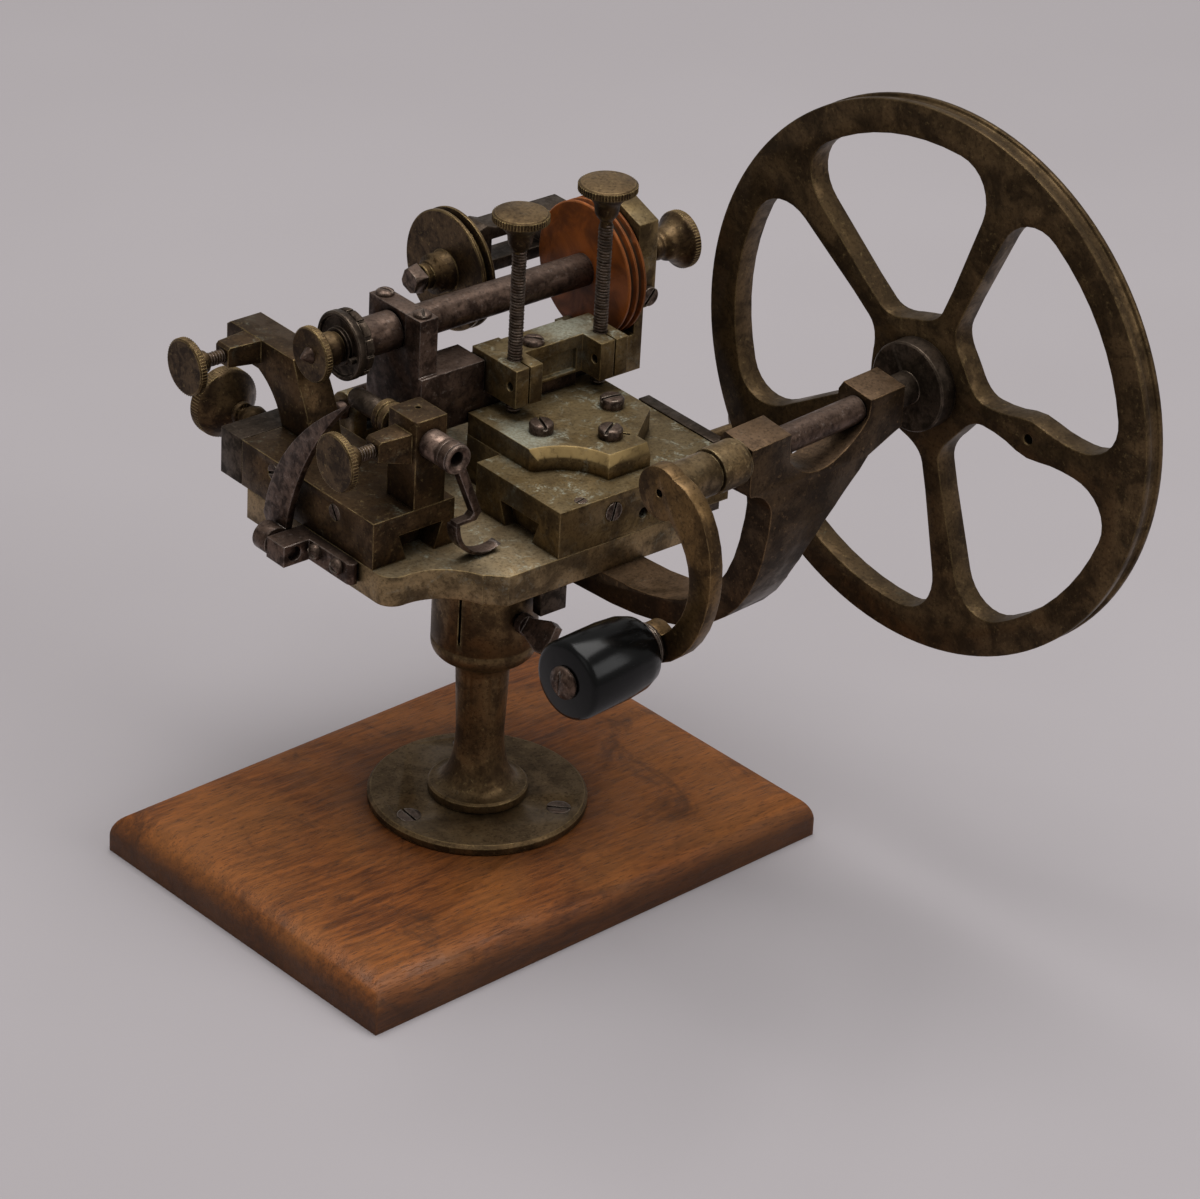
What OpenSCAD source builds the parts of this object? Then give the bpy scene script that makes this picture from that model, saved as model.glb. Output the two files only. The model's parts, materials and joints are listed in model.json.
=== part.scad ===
// Rounding-up tool for clock and watch wheels, on a wooden stand.
// A hand wheel and crank drive a small cutter spindle by a round cord.
// The wheel to be cut sits between two runners on the work carriage.
// X runs along the cutter spindle, Y away from the operator, Z up.
// The origin is on the column's axis at the underside of the stand.

/* [Wooden stand] */
// Length of the stand
base_len = 157; // [140:1:200]
// Width of the stand
base_wid = 112; // [90:1:140]
// Thickness of the stand
base_thk = 13; // [12:0.5:20]
// Radius of the rounded top edges
base_round = 8.5; // [4:0.5:10]
// Turn of the stand about the column
base_turn = 2.44; // [-10:0.5:10]
// Shift of the stand along X
base_shift = -3.8; // [-10:0.2:6]

/* [Column] */
// Diameter of the foot flange
flange_d = 60; // [54:1:76]
// Thickness of the foot flange
flange_thk = 3; // [2.5:0.5:6]
// Radius of the circle of wood screws
wood_screw_ring = 23.6; // [21:0.2:24]
// Shank diameter of the wood screws
wood_screw_d = 2.8; // [2:0.2:3.4]
// Height of the column above its flange
column_h = 75.7; // [70:0.5:100]
// Diameter of the ring at the column's foot
ring_d = 27.4; // [24:0.2:30]
// Diameter of the column's neck
neck_d = 13.1; // [11:0.2:16]
// Diameter of the drum at the column's top
drum_d = 28.7; // [24:0.2:34]
// Length of the drum
drum_h = 32; // [26:0.5:36]
// Diameter of the plate's spigot
spigot_d = 12; // [9:0.5:14]
// Width of the drum's clamping slit
slit_w = 0.8; // [0.5:0.1:1.5]
// Diameter of the drum's clamp screw
drum_screw_d = 4; // [3:0.2:5]
// Length of the clamp screw's paddle
paddle_len = 11; // [8:0.5:16]

/* [Main plate] */
// Thickness of the main plate
plate_thk = 8.6; // [7:0.2:12]
// Left edge of the plate
plate_left = -43.5; // [-48:0.5:-43]
// Right end of the plate
plate_right = 58.5; // [57:0.5:60]
// Front edge of the plate
plate_front = -29; // [-34:0.5:-28]
// Rear edge of the plate
plate_rear = 48; // [46:0.5:49]
// Radius of the scoop in the plate's front left corner
scoop_r = 17.3; // [14:0.1:20]

/* [Slides] */
// Height of both slides
slide_h = 13.5; // [12.5:0.5:18]
// Height of the carriage's rail
carriage_rail_h = 7.5; // [6:0.1:7.8]
// Height of the saddle's rail
saddle_rail_h = 6.6; // [5:0.1:7.2]
// Slant of the dovetails, as width per side
dovetail = 2.6; // [1:0.2:4]
// Gap between a slide and its rail
slide_gap = 0.1; // [0.05:0.05:0.3]
// Diameter of both feed screws
feed_d = 3.2; // [2.4:0.2:3.6]
// Travel per turn of the feed screws
feed_pitch = 1; // [0.5:0.25:1.5]

/* [Work carriage] */
// Width of the carriage along X
carriage_w = 26.5; // [24:0.5:28]
// Front face of the carriage
carriage_front = -6.2; // [-8:0.2:-5]
// Rear face of the carriage
carriage_rear = 50.7; // [50:0.1:52]
// Thickness of the steel end plate
end_plate_thk = 9; // [5:0.5:10]
// Diameter of the carriage's mushroom knob
mushroom_d = 19.4; // [15:0.2:20]
// Height of both runners' axis above the carriage
runner_rise = 18.2; // [16:0.2:19]
// Diameter of both runners
runner_d = 4; // [3:0.1:4.4]
// Width of the post and of the swan neck along X
post_w = 9.9; // [8.6:0.1:11]
// Height of the front post
post_h = 25.3; // [23:0.1:28]
// Depth of the front post
post_d = 11.5; // [9:0.5:13]
// Outer diameter of the front runner's sleeve
sleeve_d = 8; // [7.4:0.1:9]
// Diameter of the thumb screws' knurled discs
thumb_d = 15.6; // [12:0.2:17]
// Diameter of the thumb screws' threads
thumb_thread_d = 3.6; // [3:0.2:4]
// Thickness of the hanging claw lever
claw_thk = 1.4; // [1:0.1:2]

/* [Centring horn] */
// Height of the horn's point above the plate
horn_rise = 46.7; // [40:0.5:50]
// Thickness of the horn
horn_thk = 2.2; // [1.8:0.1:2.8]
// Diameter of the horn's pin
horn_pin_d = 4; // [3:0.2:5]

/* [Saddle and cam] */
// Left face of the saddle
saddle_left = -0.3; // [-1:0.1:2]
// Depth of the front block of the saddle
saddle_depth = 34.6; // [33:0.2:36]
// Thickness of the steel thrust bar
thrust_thk = 3.7; // [2.5:0.1:5]
// Thickness of the cam plate
cam_thk = 6.4; // [4:0.2:8]
// Width of the cam plate's bevel
cam_bevel = 1.8; // [1:0.1:2.6]
// Diameter of the cheese-head screws
cheese_d = 6.6; // [4:0.2:7]
// Diameter of the saddle's feed knob
lead_knob_d = 16; // [12:0.5:17]

/* [Cutter head] */
// Height of the spindle above the plate
spindle_rise = 43.3; // [42:0.1:47]
// Distance of the spindle behind the column
spindle_y = 33.1; // [31:0.1:34]
// Diameter of the spindle
spindle_d = 9.2; // [7:0.1:9.6]
// Diameter of the fibre pulley
pulley_d = 38.2; // [30:0.2:39]
// Diameter of the cutter flange
cutter_flange_d = 19; // [15:0.2:19.4]
// Diameter of the spindle's knurled nut
spindle_nut_d = 15; // [12:0.2:16]
// Diameter of the stop screws
stop_d = 4; // [3:0.1:4.6]
// Height of the stop screws above the cam plate
stop_h = 58.3; // [50:0.5:66]
// Height of the right stop screw's head above the left one
stop_step = 1.1; // [0:0.1:3]
// Diameter of the left stop screw's head
stop_head_l = 15; // [12:0.2:17]
// Diameter of the right stop screw's head
stop_head_r = 15.8; // [12:0.2:17]
// Height of the crosspiece
cross_h = 11; // [9:0.5:12]
// Diameter of the idler pulley
idler_d = 34; // [26:0.5:35]
// Diameter of the idler's stud
stud_d = 5; // [4:0.2:6]
// Diameter of the hinge pin
hinge_pin_d = 4.8; // [4:0.2:5.6]

/* [Crank and hand wheel] */
// Turn of the crank bracket about the column
bracket_turn = 4.9; // [0:0.1:8]
// Distance of the crank shaft in front of the column
crank_y = -81.4; // [-84:0.2:-80]
// Height of the crank shaft above the plate
crank_rise = 48; // [47:0.5:50]
// Diameter of the crank shaft
shaft_d = 5.8; // [5:0.1:6.4]
// Diameter of the shaft's middle sleeve
shaft_sleeve_d = 7.4; // [6.6:0.1:8]
// Thickness of the crank arm
crank_thk = 4.3; // [3:0.1:5]
// Radius from the shaft to the handle
crank_r = 42.5; // [40:0.5:44]
// Diameter of the handle
handle_d = 21; // [17:0.5:22]
// Length of the handle
handle_len = 26; // [22:0.5:32]
// Diameter of the hand wheel
wheel_d = 150; // [140:1:154]
// Thickness of the hand wheel
wheel_thk = 6.5; // [5:0.1:8]
// Width of the hand wheel's rim
rim_w = 9; // [7:0.5:12]
// Width of the spokes at their middle
spoke_w = 5.8; // [4.5:0.1:8]

/* [Fits] */
// Radial clearance of turning and sliding fits
run_fit = 0.05; // [0.02:0.01:0.08]
// Gap between parts that pass each other
part_gap = 0.3; // [0.2:0.05:0.4]

/* [Hidden] */

$fn = 64;
eps = 0.01;

// Heights
flange_z = base_thk;
column_z = flange_z + flange_thk;
plate_z = column_z + column_h;
plate_top = plate_z + plate_thk;
slide_z = plate_top + slide_gap;
slide_top = plate_top + slide_h;
cam_top = slide_top + cam_thk;
spindle_z = plate_top + spindle_rise;
crank_z = plate_top + crank_rise;
runner_z = slide_top + runner_rise;

// Places along X and Y
carriage_x0 = plate_left;
carriage_x1 = carriage_x0 + carriage_w;
rail_x = carriage_x0 + 15.5;
rail_half = 7;
feed_x = carriage_x0 + 13;
feed_z = slide_top - 3.5;
post_x1 = carriage_x1 - 3.6;
post_x0 = post_x1 - post_w;
runner_x = (post_x0 + post_x1) / 2;
thumb_y = carriage_front + 5.3;
saddle_front = plate_front;
saddle_mid = saddle_front + saddle_depth;
saddle_rear = saddle_mid + 14.1;
saddle_x0 = saddle_left;
saddle_x1 = plate_right;
saddle_rail_y = saddle_front + 16.5;
saddle_rail_half = 8;
lead_y = saddle_front + 26;
lead_z = plate_top + 2.3;
stop_y = 13.7;
stop_x = [17.9, 47.3];
hinge_y = 53;
hinge_z = plate_top + 11.2;
knuckle = [-3.7, 19.7];
head_x0 = -8.3;
head_x1 = -2.4;
pulley_x = [57, 63.4];
frame_z = plate_top + 16.7;
cross_z = plate_top + 24.4;
idler_y = 58;
idler_z = spindle_z - 2.8;

// Points of a curve with two or three spans of control
function bez2(a, b, c, n = 12) =
  [for (i = [0:n]) let (t = i / n) (1 - t) * (1 - t) * a + 2 * t * (1 - t) * b + t * t * c];
function bez3(a, b, c, d, n = 14) =
  [for (i = [0:n]) let (t = i / n, u = 1 - t)
    u * u * u * a + 3 * u * u * t * b + 3 * u * t * t * c + t * t * t * d];
function rev(v) = [for (i = [len(v) - 1:-1:0]) v[i]];
function arc(c, r, a0, a1, n = 10) =
  [for (i = [0:n]) let (a = a0 + (a1 - a0) * i / n) c + r * [cos(a), sin(a)]];

// A block between two corners
module bar(x, y, z) {
  translate([x[0], y[0], z[0]]) cube([x[1] - x[0], y[1] - y[0], z[1] - z[0]]);
}
// Round rods along the three axes, at the two other coordinates
module rod_x(r, x, y, z) { translate([x[0], y, z]) rotate([0, 90, 0]) cylinder(r = r, h = x[1] - x[0]); }
module rod_y(r, y, x, z) { translate([x, y[0], z]) rotate([-90, 0, 0]) cylinder(r = r, h = y[1] - y[0]); }
module rod_z(r, z, x, y) { translate([x, y, z[0]]) cylinder(r = r, h = z[1] - z[0]); }
// Turned pieces along the axes, from [radius, place] pairs
module turn_x(p, y, z) { translate([0, y, z]) rotate([0, 90, 0]) rotate_extrude() polygon(p); }
module turn_y(p, x, z) { translate([x, 0, z]) rotate([-90, 0, 0]) rotate_extrude() polygon(p); }
module turn_z(p, x = 0, y = 0) { translate([x, y, 0]) rotate_extrude() polygon(p); }
// An outline in the Y-Z plane or the X-Z plane, drawn out along the third axis
module plate_yz(x) { translate([x[0], 0, 0]) rotate([90, 0, 90]) linear_extrude(x[1] - x[0]) children(); }
module plate_xz(y) { translate([0, y[1], 0]) rotate([90, 0, 0]) linear_extrude(y[1] - y[0]) children(); }
// Frame of the crank bracket
module crank_frame() { rotate(bracket_turn) children(); }

module stand_profile(w) {
  intersection() {
    translate([-w / 2, 0]) square([w, base_thk]);
    union() {
      translate([-w / 2, 0]) square([w, base_thk - base_round]);
      translate([-w / 2 + base_round, 0]) square([w - 2 * base_round, base_thk]);
      for (s = [-1, 1]) translate([s * (w / 2 - base_round), base_thk - base_round]) circle(base_round);
    }
  }
}
function wood_screw_at(i) = wood_screw_ring * [cos(60 + 120 * i), sin(60 + 120 * i)];

module wooden_base() {
  color("saddlebrown") difference() {
    translate([base_shift, 0, 0]) rotate(base_turn) intersection() {
      translate([-base_len / 2, 0, 0]) rotate([90, 0, 90]) linear_extrude(base_len) stand_profile(base_wid);
      translate([0, base_wid / 2, 0]) rotate([90, 0, 0]) linear_extrude(base_wid) stand_profile(base_len);
    }
    for (i = [0:2]) translate([wood_screw_at(i)[0], wood_screw_at(i)[1], base_thk - 9.2])
      cylinder(d = wood_screw_d + 2 * run_fit, h = 9.2 + eps);
  }
}

module base_screws() {
  color("dimgray") for (i = [0:2])
    translate([wood_screw_at(i)[0], wood_screw_at(i)[1], column_z]) difference() {
      union() {
        translate([0, 0, -2]) cylinder(d1 = wood_screw_d, d2 = wood_screw_d + 3.8, h = 2);
        translate([0, 0, -flange_thk - 9]) cylinder(d = wood_screw_d, h = flange_thk + 7.5);
      }
      rotate(35 + 50 * i) translate([-5, -0.4, -0.8]) cube([10, 0.8, 1]);
    }
}

module column_flange() {
  r = flange_d / 2;
  color("darkkhaki") difference() {
    turn_z([[0, flange_z], [r - 0.4, flange_z], [r, flange_z + 0.4], [r, column_z - 0.8],
      [r - 0.8, column_z], [0, column_z]]);
    for (i = [0:2]) translate([wood_screw_at(i)[0], wood_screw_at(i)[1], 0]) {
      translate([0, 0, flange_z - 1]) cylinder(d = wood_screw_d + 2 * run_fit, h = flange_thk + 2);
      translate([0, 0, column_z - 2]) cylinder(d1 = wood_screw_d + 2 * run_fit,
        d2 = wood_screw_d + 4 + 2 * run_fit, h = 2 + eps);
    }
    translate([0, 0, flange_z - 1]) cylinder(d = neck_d - 4, h = flange_thk + 2);
  }
}

drum_z = plate_z - drum_h;
module column_stem() {
  rr = ring_d / 2;
  rn = neck_d / 2;
  rd = drum_d / 2;
  bell = [for (t = [0:10:90]) [rn + (rr - 1.5 - rn) * (1 - sin(t)), column_z + 3 + 16 * (1 - cos(t))]];
  bowl = [for (t = [0:10:90]) [rn + 1.9 + (rd - rn - 1.9) * sin(t), drum_z + 3.3 - 4.6 * cos(t)]];
  color("darkgoldenrod") difference() {
    union() {
      turn_z(concat([[0, column_z], [rr - 0.3, column_z], [rr, column_z + 0.3], [rr, column_z + 2.5],
        [rr - 0.5, column_z + 3]], bell, [[rn + 0.85, drum_z - 3.7], [rn + 1.5, drum_z - 2.4]], bowl,
        [[rd, drum_z + 4.6], [rd - 0.3, drum_z + 4.9], [rd, drum_z + 5.2], [rd, plate_z - 0.5],
        [rd - 0.5, plate_z], [0, plate_z]]));
      translate([0, 0, flange_z]) cylinder(d = neck_d - 4 - 2 * run_fit, h = flange_thk + 1);
    }
    translate([0, 0, plate_z - 20]) cylinder(d = spigot_d + 2 * run_fit, h = 21);
    rotate(-157) bar([0, drum_d], [-slit_w / 2, slit_w / 2], [plate_z - 24, plate_z + 1]);
    rod_y(drum_screw_d / 2 + run_fit, [-drum_d, 0], 0, plate_z - 16.6);
  }
}

module column_clamp_screw() {
  z = plate_z - 16.6;
  y0 = -drum_d / 2;
  color("gray") {
    rod_y(drum_screw_d / 2, [y0 - 2, -spigot_d / 2 - 0.3], 0, z);
    turn_y([[0, y0 - 3.4], [drum_screw_d / 2 + 0.9, y0 - 3.4], [drum_screw_d / 2 + 0.9, y0 - 1.2],
      [drum_screw_d / 2, y0 - 0.6], [0, y0 - 0.6]], 0, z);
    translate([0, 0, z]) rotate([0, 35, 0]) intersection() {
      bar([-1.3, 1.3], [y0 - 3 - paddle_len, y0 - 3], [-5, 5]);
      plate_yz([-3, 3]) polygon([[y0 - 2.9, -2.2], [y0 - 5, -2.6], [y0 - paddle_len, -4.6],
        [y0 - 2.5 - paddle_len, -4], [y0 - 3 - paddle_len, 0], [y0 - 2.5 - paddle_len, 4],
        [y0 - paddle_len, 4.6], [y0 - 5, 2.6], [y0 - 2.9, 2.2]]);
    }
  }
}

module plate_outline() {
  difference() {
    union() {
      polygon([[plate_left, plate_rear], [plate_left, -8], [-38.5, -13], [-38, -24.6], [-21, -24.6],
        [-21 + (-24.6 - plate_front), plate_front], [46.5, plate_front], [plate_right, -18],
        [plate_right, plate_rear - 3], [plate_right - 3, plate_rear]]);
      translate([plate_left + 5, -8]) circle(5);
    }
    translate([-38, -13 - scoop_r]) circle(scoop_r);
  }
}

module main_plate() {
  color("olive") {
    translate([0, 0, plate_z]) linear_extrude(plate_thk) plate_outline();
    rod_z(spigot_d / 2, [plate_z - 18.7, plate_z + 1], 0, 0);
  }
}

// Dark steel block that clamps the crank bracket's foot beside the column
module foot_clamp() {
  color("darkslategray") bar([3.5, 12.3], [-18.6, -drum_d / 2 - 0.8], [plate_z - 14.7, plate_z]);
}

module dovetail_bar(half, h, g) {
  polygon([[-half + dovetail - g, 0], [half - dovetail + g, 0], [half + g, h + g], [-half - g, h + g]]);
}

module carriage_rail() {
  color("darkgoldenrod") translate([rail_x, 0, plate_top])
    plate_xz([carriage_front + 1.2, carriage_rear + part_gap]) dovetail_bar(rail_half, carriage_rail_h, 0);
}

module saddle_rail() {
  color("darkgoldenrod") translate([0, saddle_rail_y, plate_top])
    plate_yz([3, plate_right]) dovetail_bar(saddle_rail_half, saddle_rail_h, 0);
}

module slotted(r, h, w = 0.8, d = 0.9) {
  difference() {
    cylinder(r = r, h = h);
    translate([-r - 1, -w / 2, h - d]) cube([2 * r + 2, w, d + 1]);
  }
}

// L-shaped bracket on the plate's left edge, bored for the horn's pin
horn_x = plate_left - 7.9;
horn_z = plate_top - 2.8;
horn_low = horn_z - 3.2;
horn_screw_y = [4.2, 13.6];
horn_pin_y = 24;
horn_strip = 3.2;
module horn_bracket() {
  color("rosybrown") difference() {
    union() {
      bar([plate_left - horn_strip, plate_left], [0.6, horn_pin_y - 1], [horn_low, plate_top]);
      bar([horn_x - 3.5, plate_left], [horn_pin_y - 7.5, horn_pin_y], [horn_low, plate_top]);
      rod_z(horn_strip / 2, [horn_low, plate_top], plate_left - horn_strip / 2, 0.6);
    }
    rod_y(horn_pin_d / 2 + run_fit, [0, horn_pin_y + 1], horn_x, horn_z);
    for (y = horn_screw_y) rod_x(1.25, [plate_left - 9, plate_left + 1], y, horn_z + 0.5);
  }
}

module horn_screws() {
  color("rosybrown") for (y = horn_screw_y) translate([plate_left - horn_strip, y, horn_z + 0.5])
    rotate([0, -90, 0]) {
      difference() {
        turn_z([[0, 0], [2.3, 0], [2.2, 0.9], [1.7, 1.6], [0.8, 2], [0, 2.1]]);
        rotate(60) translate([-4, -0.35, 1.3]) cube([8, 0.7, 2]);
      }
      translate([0, 0, -horn_strip + 0.2]) cylinder(r = 1.2, h = horn_strip);
    }
}

module centring_horn() {
  tip = [-0.4, plate_top + horn_rise];
  z = plate_top;
  back = bez2([34, z + 1], [30, z + horn_rise - 20.7], tip);
  face = bez3([24.6, z - 2], [23.6, z + 9], [17, z + horn_rise - 18.7], tip);
  color("rosybrown") {
    plate_yz([horn_x + 2.8, horn_x + 2.8 + horn_thk])
      polygon(concat([[26, horn_z - 3.4], [30, horn_z - 3.4]], back, rev(face)));
    rod_y(4, [horn_pin_y + part_gap, horn_pin_y + 5.6], horn_x, horn_z);
    rod_y(horn_pin_d / 2, [horn_pin_y - 6, horn_pin_y + 3], horn_x, horn_z);
  }
}

// Fixed part of the hinge on which the cutter head swings
module hinge_block() {
  x = [knuckle[0] - 4.5, knuckle[1] + 4.5];
  color("darkgoldenrod") difference() {
    union() {
      bar(x, [plate_rear, hinge_y + 5], [plate_z, hinge_z - 5.4]);
      for (e = [[x[0], knuckle[0] - part_gap], [knuckle[1] + part_gap, x[1]]]) {
        bar(e, [hinge_y - 5, hinge_y + 5], [hinge_z - 6, hinge_z]);
        rod_x(5, e, hinge_y, hinge_z);
      }
    }
    rod_x(hinge_pin_d / 2 + run_fit, [x[0] - 1, x[1] + 1], hinge_y, hinge_z);
  }
}

module hinge_pin() {
  color("rosybrown") turn_x([[0, knuckle[0] - 7.6], [hinge_pin_d / 2 - 0.8, knuckle[0] - 7.4],
    [hinge_pin_d / 2, knuckle[0] - 6.6], [hinge_pin_d / 2, knuckle[1] + 5.4],
    [hinge_pin_d / 2 - 0.5, knuckle[1] + 6], [0, knuckle[1] + 6]], hinge_y, hinge_z);
}

end_y0 = carriage_rear + part_gap;
end_y1 = end_y0 + end_plate_thk;
module feed_end_plate() {
  color("darkslategray") difference() {
    bar([carriage_x0, carriage_x1], [end_y0, end_y1], [slide_z, slide_top]);
    rod_y(feed_d / 2 + run_fit, [end_y0 - 1, end_y1 + 1], feed_x, feed_z);
  }
}

// Feed screw of the carriage, with its ball collar and mushroom knob
module carriage_screw() {
  r = mushroom_d / 2;
  y = end_y1 + part_gap;
  color("darkkhaki") union() {
    rod_y(feed_d / 2, [carriage_front + 22, y + 1], feed_x, feed_z);
    turn_y([[0, y], [2.6, y], [4, y + 1.6], [4.2, y + 3], [3.6, y + 4.6], [2.2, y + 5.6], [2.1, y + 7],
      [3.2, y + 7.2], [3.3, y + 8.6], [2.6, y + 9], [4, y + 10], [r - 3, y + 12.2], [r - 0.7, y + 14.4],
      [r, y + 15], [r, y + 18.4], [r - 0.6, y + 19], [0, y + 19]], feed_x, feed_z);
  }
}

module carriage_slide() {
  color("darkgoldenrod") difference() {
    bar([carriage_x0, carriage_x1], [carriage_front, carriage_rear], [slide_z, slide_top]);
    translate([rail_x, 0, plate_top]) plate_xz([carriage_front - 1, carriage_rear + 1])
      dovetail_bar(rail_half, carriage_rail_h, slide_gap);
    rod_y(feed_d / 2 + run_fit, [carriage_front + 20, carriage_rear + 1], feed_x, feed_z);
    for (y = gib_y) rod_x(2.35, [carriage_x0 - 1, carriage_x0 + 6], y, gib_z);
  }
}

gib_y = [carriage_front + 16.6, carriage_front + 43.1];
gib_z = slide_top - 3.8;
module gib_screws() {
  color("dimgray") for (y = gib_y)
    translate([carriage_x0 + 5.9, y, gib_z]) rotate([0, -90, 0]) rotate(y * 3) slotted(2.3, 5.9);
}

// Split boss that carries a thumb screw on the left side of an arm
module clamp_boss(y, z, w, drop) {
  x = post_x0;
  intersection() {
    plate_xz([y - w, y + w]) polygon([[x - 10, z - 2.4], [x - 10, z + 2.5], [x - 9.2, z + 3.2],
      [x + 0.5, z + 3.2], [x + 0.5, z - drop]]);
    translate([0, 0, z - 10]) linear_extrude(20) polygon([[x - 10, y - 2.7], [x - 10, y + 2.7],
      [x + 0.5, y + w], [x + 0.5, y - w]]);
  }
}

module runner_post() {
  y = [carriage_front, carriage_front + post_d];
  color("darkgoldenrod") difference() {
    union() {
      bar([post_x0, post_x1], y, [slide_top, slide_top + post_h]);
      clamp_boss(thumb_y, runner_z, 3.7, 5.6);
    }
    rod_y(sleeve_d / 2 - 1.15, [y[0] - 1, y[0] + 3.1], runner_x, runner_z);
    rod_y(runner_d / 2 + run_fit, [y[0], y[1] + 1], runner_x, runner_z);
    rod_x(thumb_thread_d / 2 + run_fit, [post_x0 - 12, runner_x - runner_d / 2 + 0.5], thumb_y, runner_z);
    rod_z(0.8, [slide_top + post_h - 3.5, slide_top + post_h + 1], runner_x + 1, thumb_y + 1.8);
  }
}

// Steel sleeve in front of the post; the claw lever turns on its reduced end
sleeve_y = carriage_front - 11.5;
module front_sleeve() {
  r = sleeve_d / 2;
  color("rosybrown") difference() {
    turn_y([[0, sleeve_y], [r - 0.3, sleeve_y], [r, sleeve_y + 0.3], [r, sleeve_y + 0.9],
      [r - 0.9, sleeve_y + 0.9], [r - 0.9, sleeve_y + 3.9], [r, sleeve_y + 3.9], [r, sleeve_y + 5.2],
      [r - 0.3, sleeve_y + 5.5], [r, sleeve_y + 5.8], [r, carriage_front], [r - 1.2, carriage_front],
      [r - 1.2, carriage_front + 3], [0, carriage_front + 3]], runner_x, runner_z);
    rod_y(runner_d / 2 + run_fit, [sleeve_y - 1, carriage_front + 4], runner_x, runner_z);
    turn_y([[0, sleeve_y - 1], [2.9, sleeve_y - 1], [2.9, sleeve_y], [0, sleeve_y + 2.9]], runner_x, runner_z);
  }
}

module front_runner() {
  r = runner_d / 2;
  color("dimgray") turn_y([[0, sleeve_y + 4], [r, sleeve_y + 4], [r, 14], [2.9, 15.4], [2.9, 24.6],
    [2.3, 26.2], [1, 26.9], [0, 27]], runner_x, runner_z);
}

module runner_collars() {
  r = runner_d / 2;
  y = carriage_front + post_d + 2.5;
  color("darkkhaki") difference() {
    turn_y([[0, y], [3.4, y], [4.6, y + 0.8], [4.6, y + 2.6], [3.9, y + 3], [3.9, y + 3.5], [4.4, y + 3.9],
      [4.4, y + 5.6], [3.2, y + 6.2], [0, y + 6.2]], runner_x, runner_z);
    rod_y(r + 0.02, [y - 1, y + 8], runner_x, runner_z);
  }
}

// Thumb screw along X with a flat knurled disc and a ball hub
module thumb_screw(y, z) {
  r = thumb_d / 2;
  t = thumb_thread_d / 2;
  x = post_x0 - 22.3;
  union() {
    turn_x([[0, x], [r - 0.4, x], [r, x + 0.4], [r, x + 2], [r - 0.4, x + 2.4], [2.4, x + 2.6],
      [2, x + 3], [3, x + 4], [3.3, x + 5.3], [3, x + 6.6], [t, x + 7.8], [0, x + 7.8]], y, z);
    rod_x(t, [x + 7, runner_x - runner_d / 2 - 0.1], y, z);
  }
}

module front_clamp_screw() { color("darkkhaki") thumb_screw(thumb_y, runner_z); }
module rear_clamp_screw() { color("darkkhaki") thumb_screw(rear_thumb_y, runner_z); }

// Claw lever: an eye on the sleeve, a straight strip and a hooked blade
claw_y = [sleeve_y + 1, sleeve_y + 3.8];
module claw_lever() {
  c = [runner_x + 11, runner_z - 20.7];
  ro = 10.2;
  k = claw_thk;
  hook = concat(arc(c, ro, 178, 300, 16), rev([for (i = [0:16]) let (a = 178 + 122 * i / 16)
    c + (ro - k * (1 - pow(i / 16, 2))) * [cos(a), sin(a)]]));
  color("gray") {
    difference() {
      rod_y(sleeve_d / 2 + 0.2, claw_y, runner_x, runner_z);
      rod_y(sleeve_d / 2 - 0.9 + run_fit, [claw_y[0] - 1, claw_y[1] + 1], runner_x, runner_z);
    }
    plate_xz(claw_y) polygon([[runner_x + 0.6, runner_z - sleeve_d / 2 + 0.5],
      [runner_x + 3, runner_z - sleeve_d / 2 + 1.2], [runner_x + 9, runner_z - 17.8],
      [runner_x + 7.4, runner_z - 20], [c[0] - ro + k, c[1] + 0.6], [c[0] - ro + 0.1, c[1] + 0.1],
      [c[0] - ro + 0.2, c[1] + 1.6], [runner_x + 5.4, runner_z - 18.9], [runner_x + 6.5, runner_z - 17.8]]);
    plate_xz([claw_y[0], claw_y[1] + 1.1]) polygon(hook);
  }
}

// Swan neck that carries the rear runner over the end plate
rear_thumb_y = carriage_rear + 13.5;
neck_y = carriage_rear - 13.2;
module rear_arm() {
  z = slide_top;
  top = z + 21.6;
  y = neck_y;
  color("darkgoldenrod") difference() {
    union() {
      plate_yz([post_x0, post_x1]) polygon(concat([[y, z]],
        bez2([y + 0.2, z], [y + 1.6, z + 8], [y + 6.4, z + 15.6], 8), [[y + 8.8, top], [y + 36.6, top],
        [y + 38.2, top - 1.2], [y + 38.2, z + 12.9]], bez2([y + 24, z + 12.8], [y + 16, z + 9], [y + 13.1, z], 8)));
      clamp_boss(rear_thumb_y, runner_z, 3.8, 3.4);
    }
    rod_y(runner_d / 2 + run_fit, [y - 1, y + 40], runner_x, runner_z);
    rod_x(thumb_thread_d / 2 + run_fit, [post_x0 - 12, runner_x - 1.1], rear_thumb_y, runner_z);
  }
}

module rear_runner() {
  r = runner_d / 2;
  y = neck_y + 4.6;
  color("rosybrown") turn_y([[0, y], [0.8, y + 0.4], [r, y + 2.6], [r, neck_y + 37.4],
    [r - 0.4, neck_y + 37.8], [0, neck_y + 37.8]], runner_x, runner_z);
}

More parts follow.
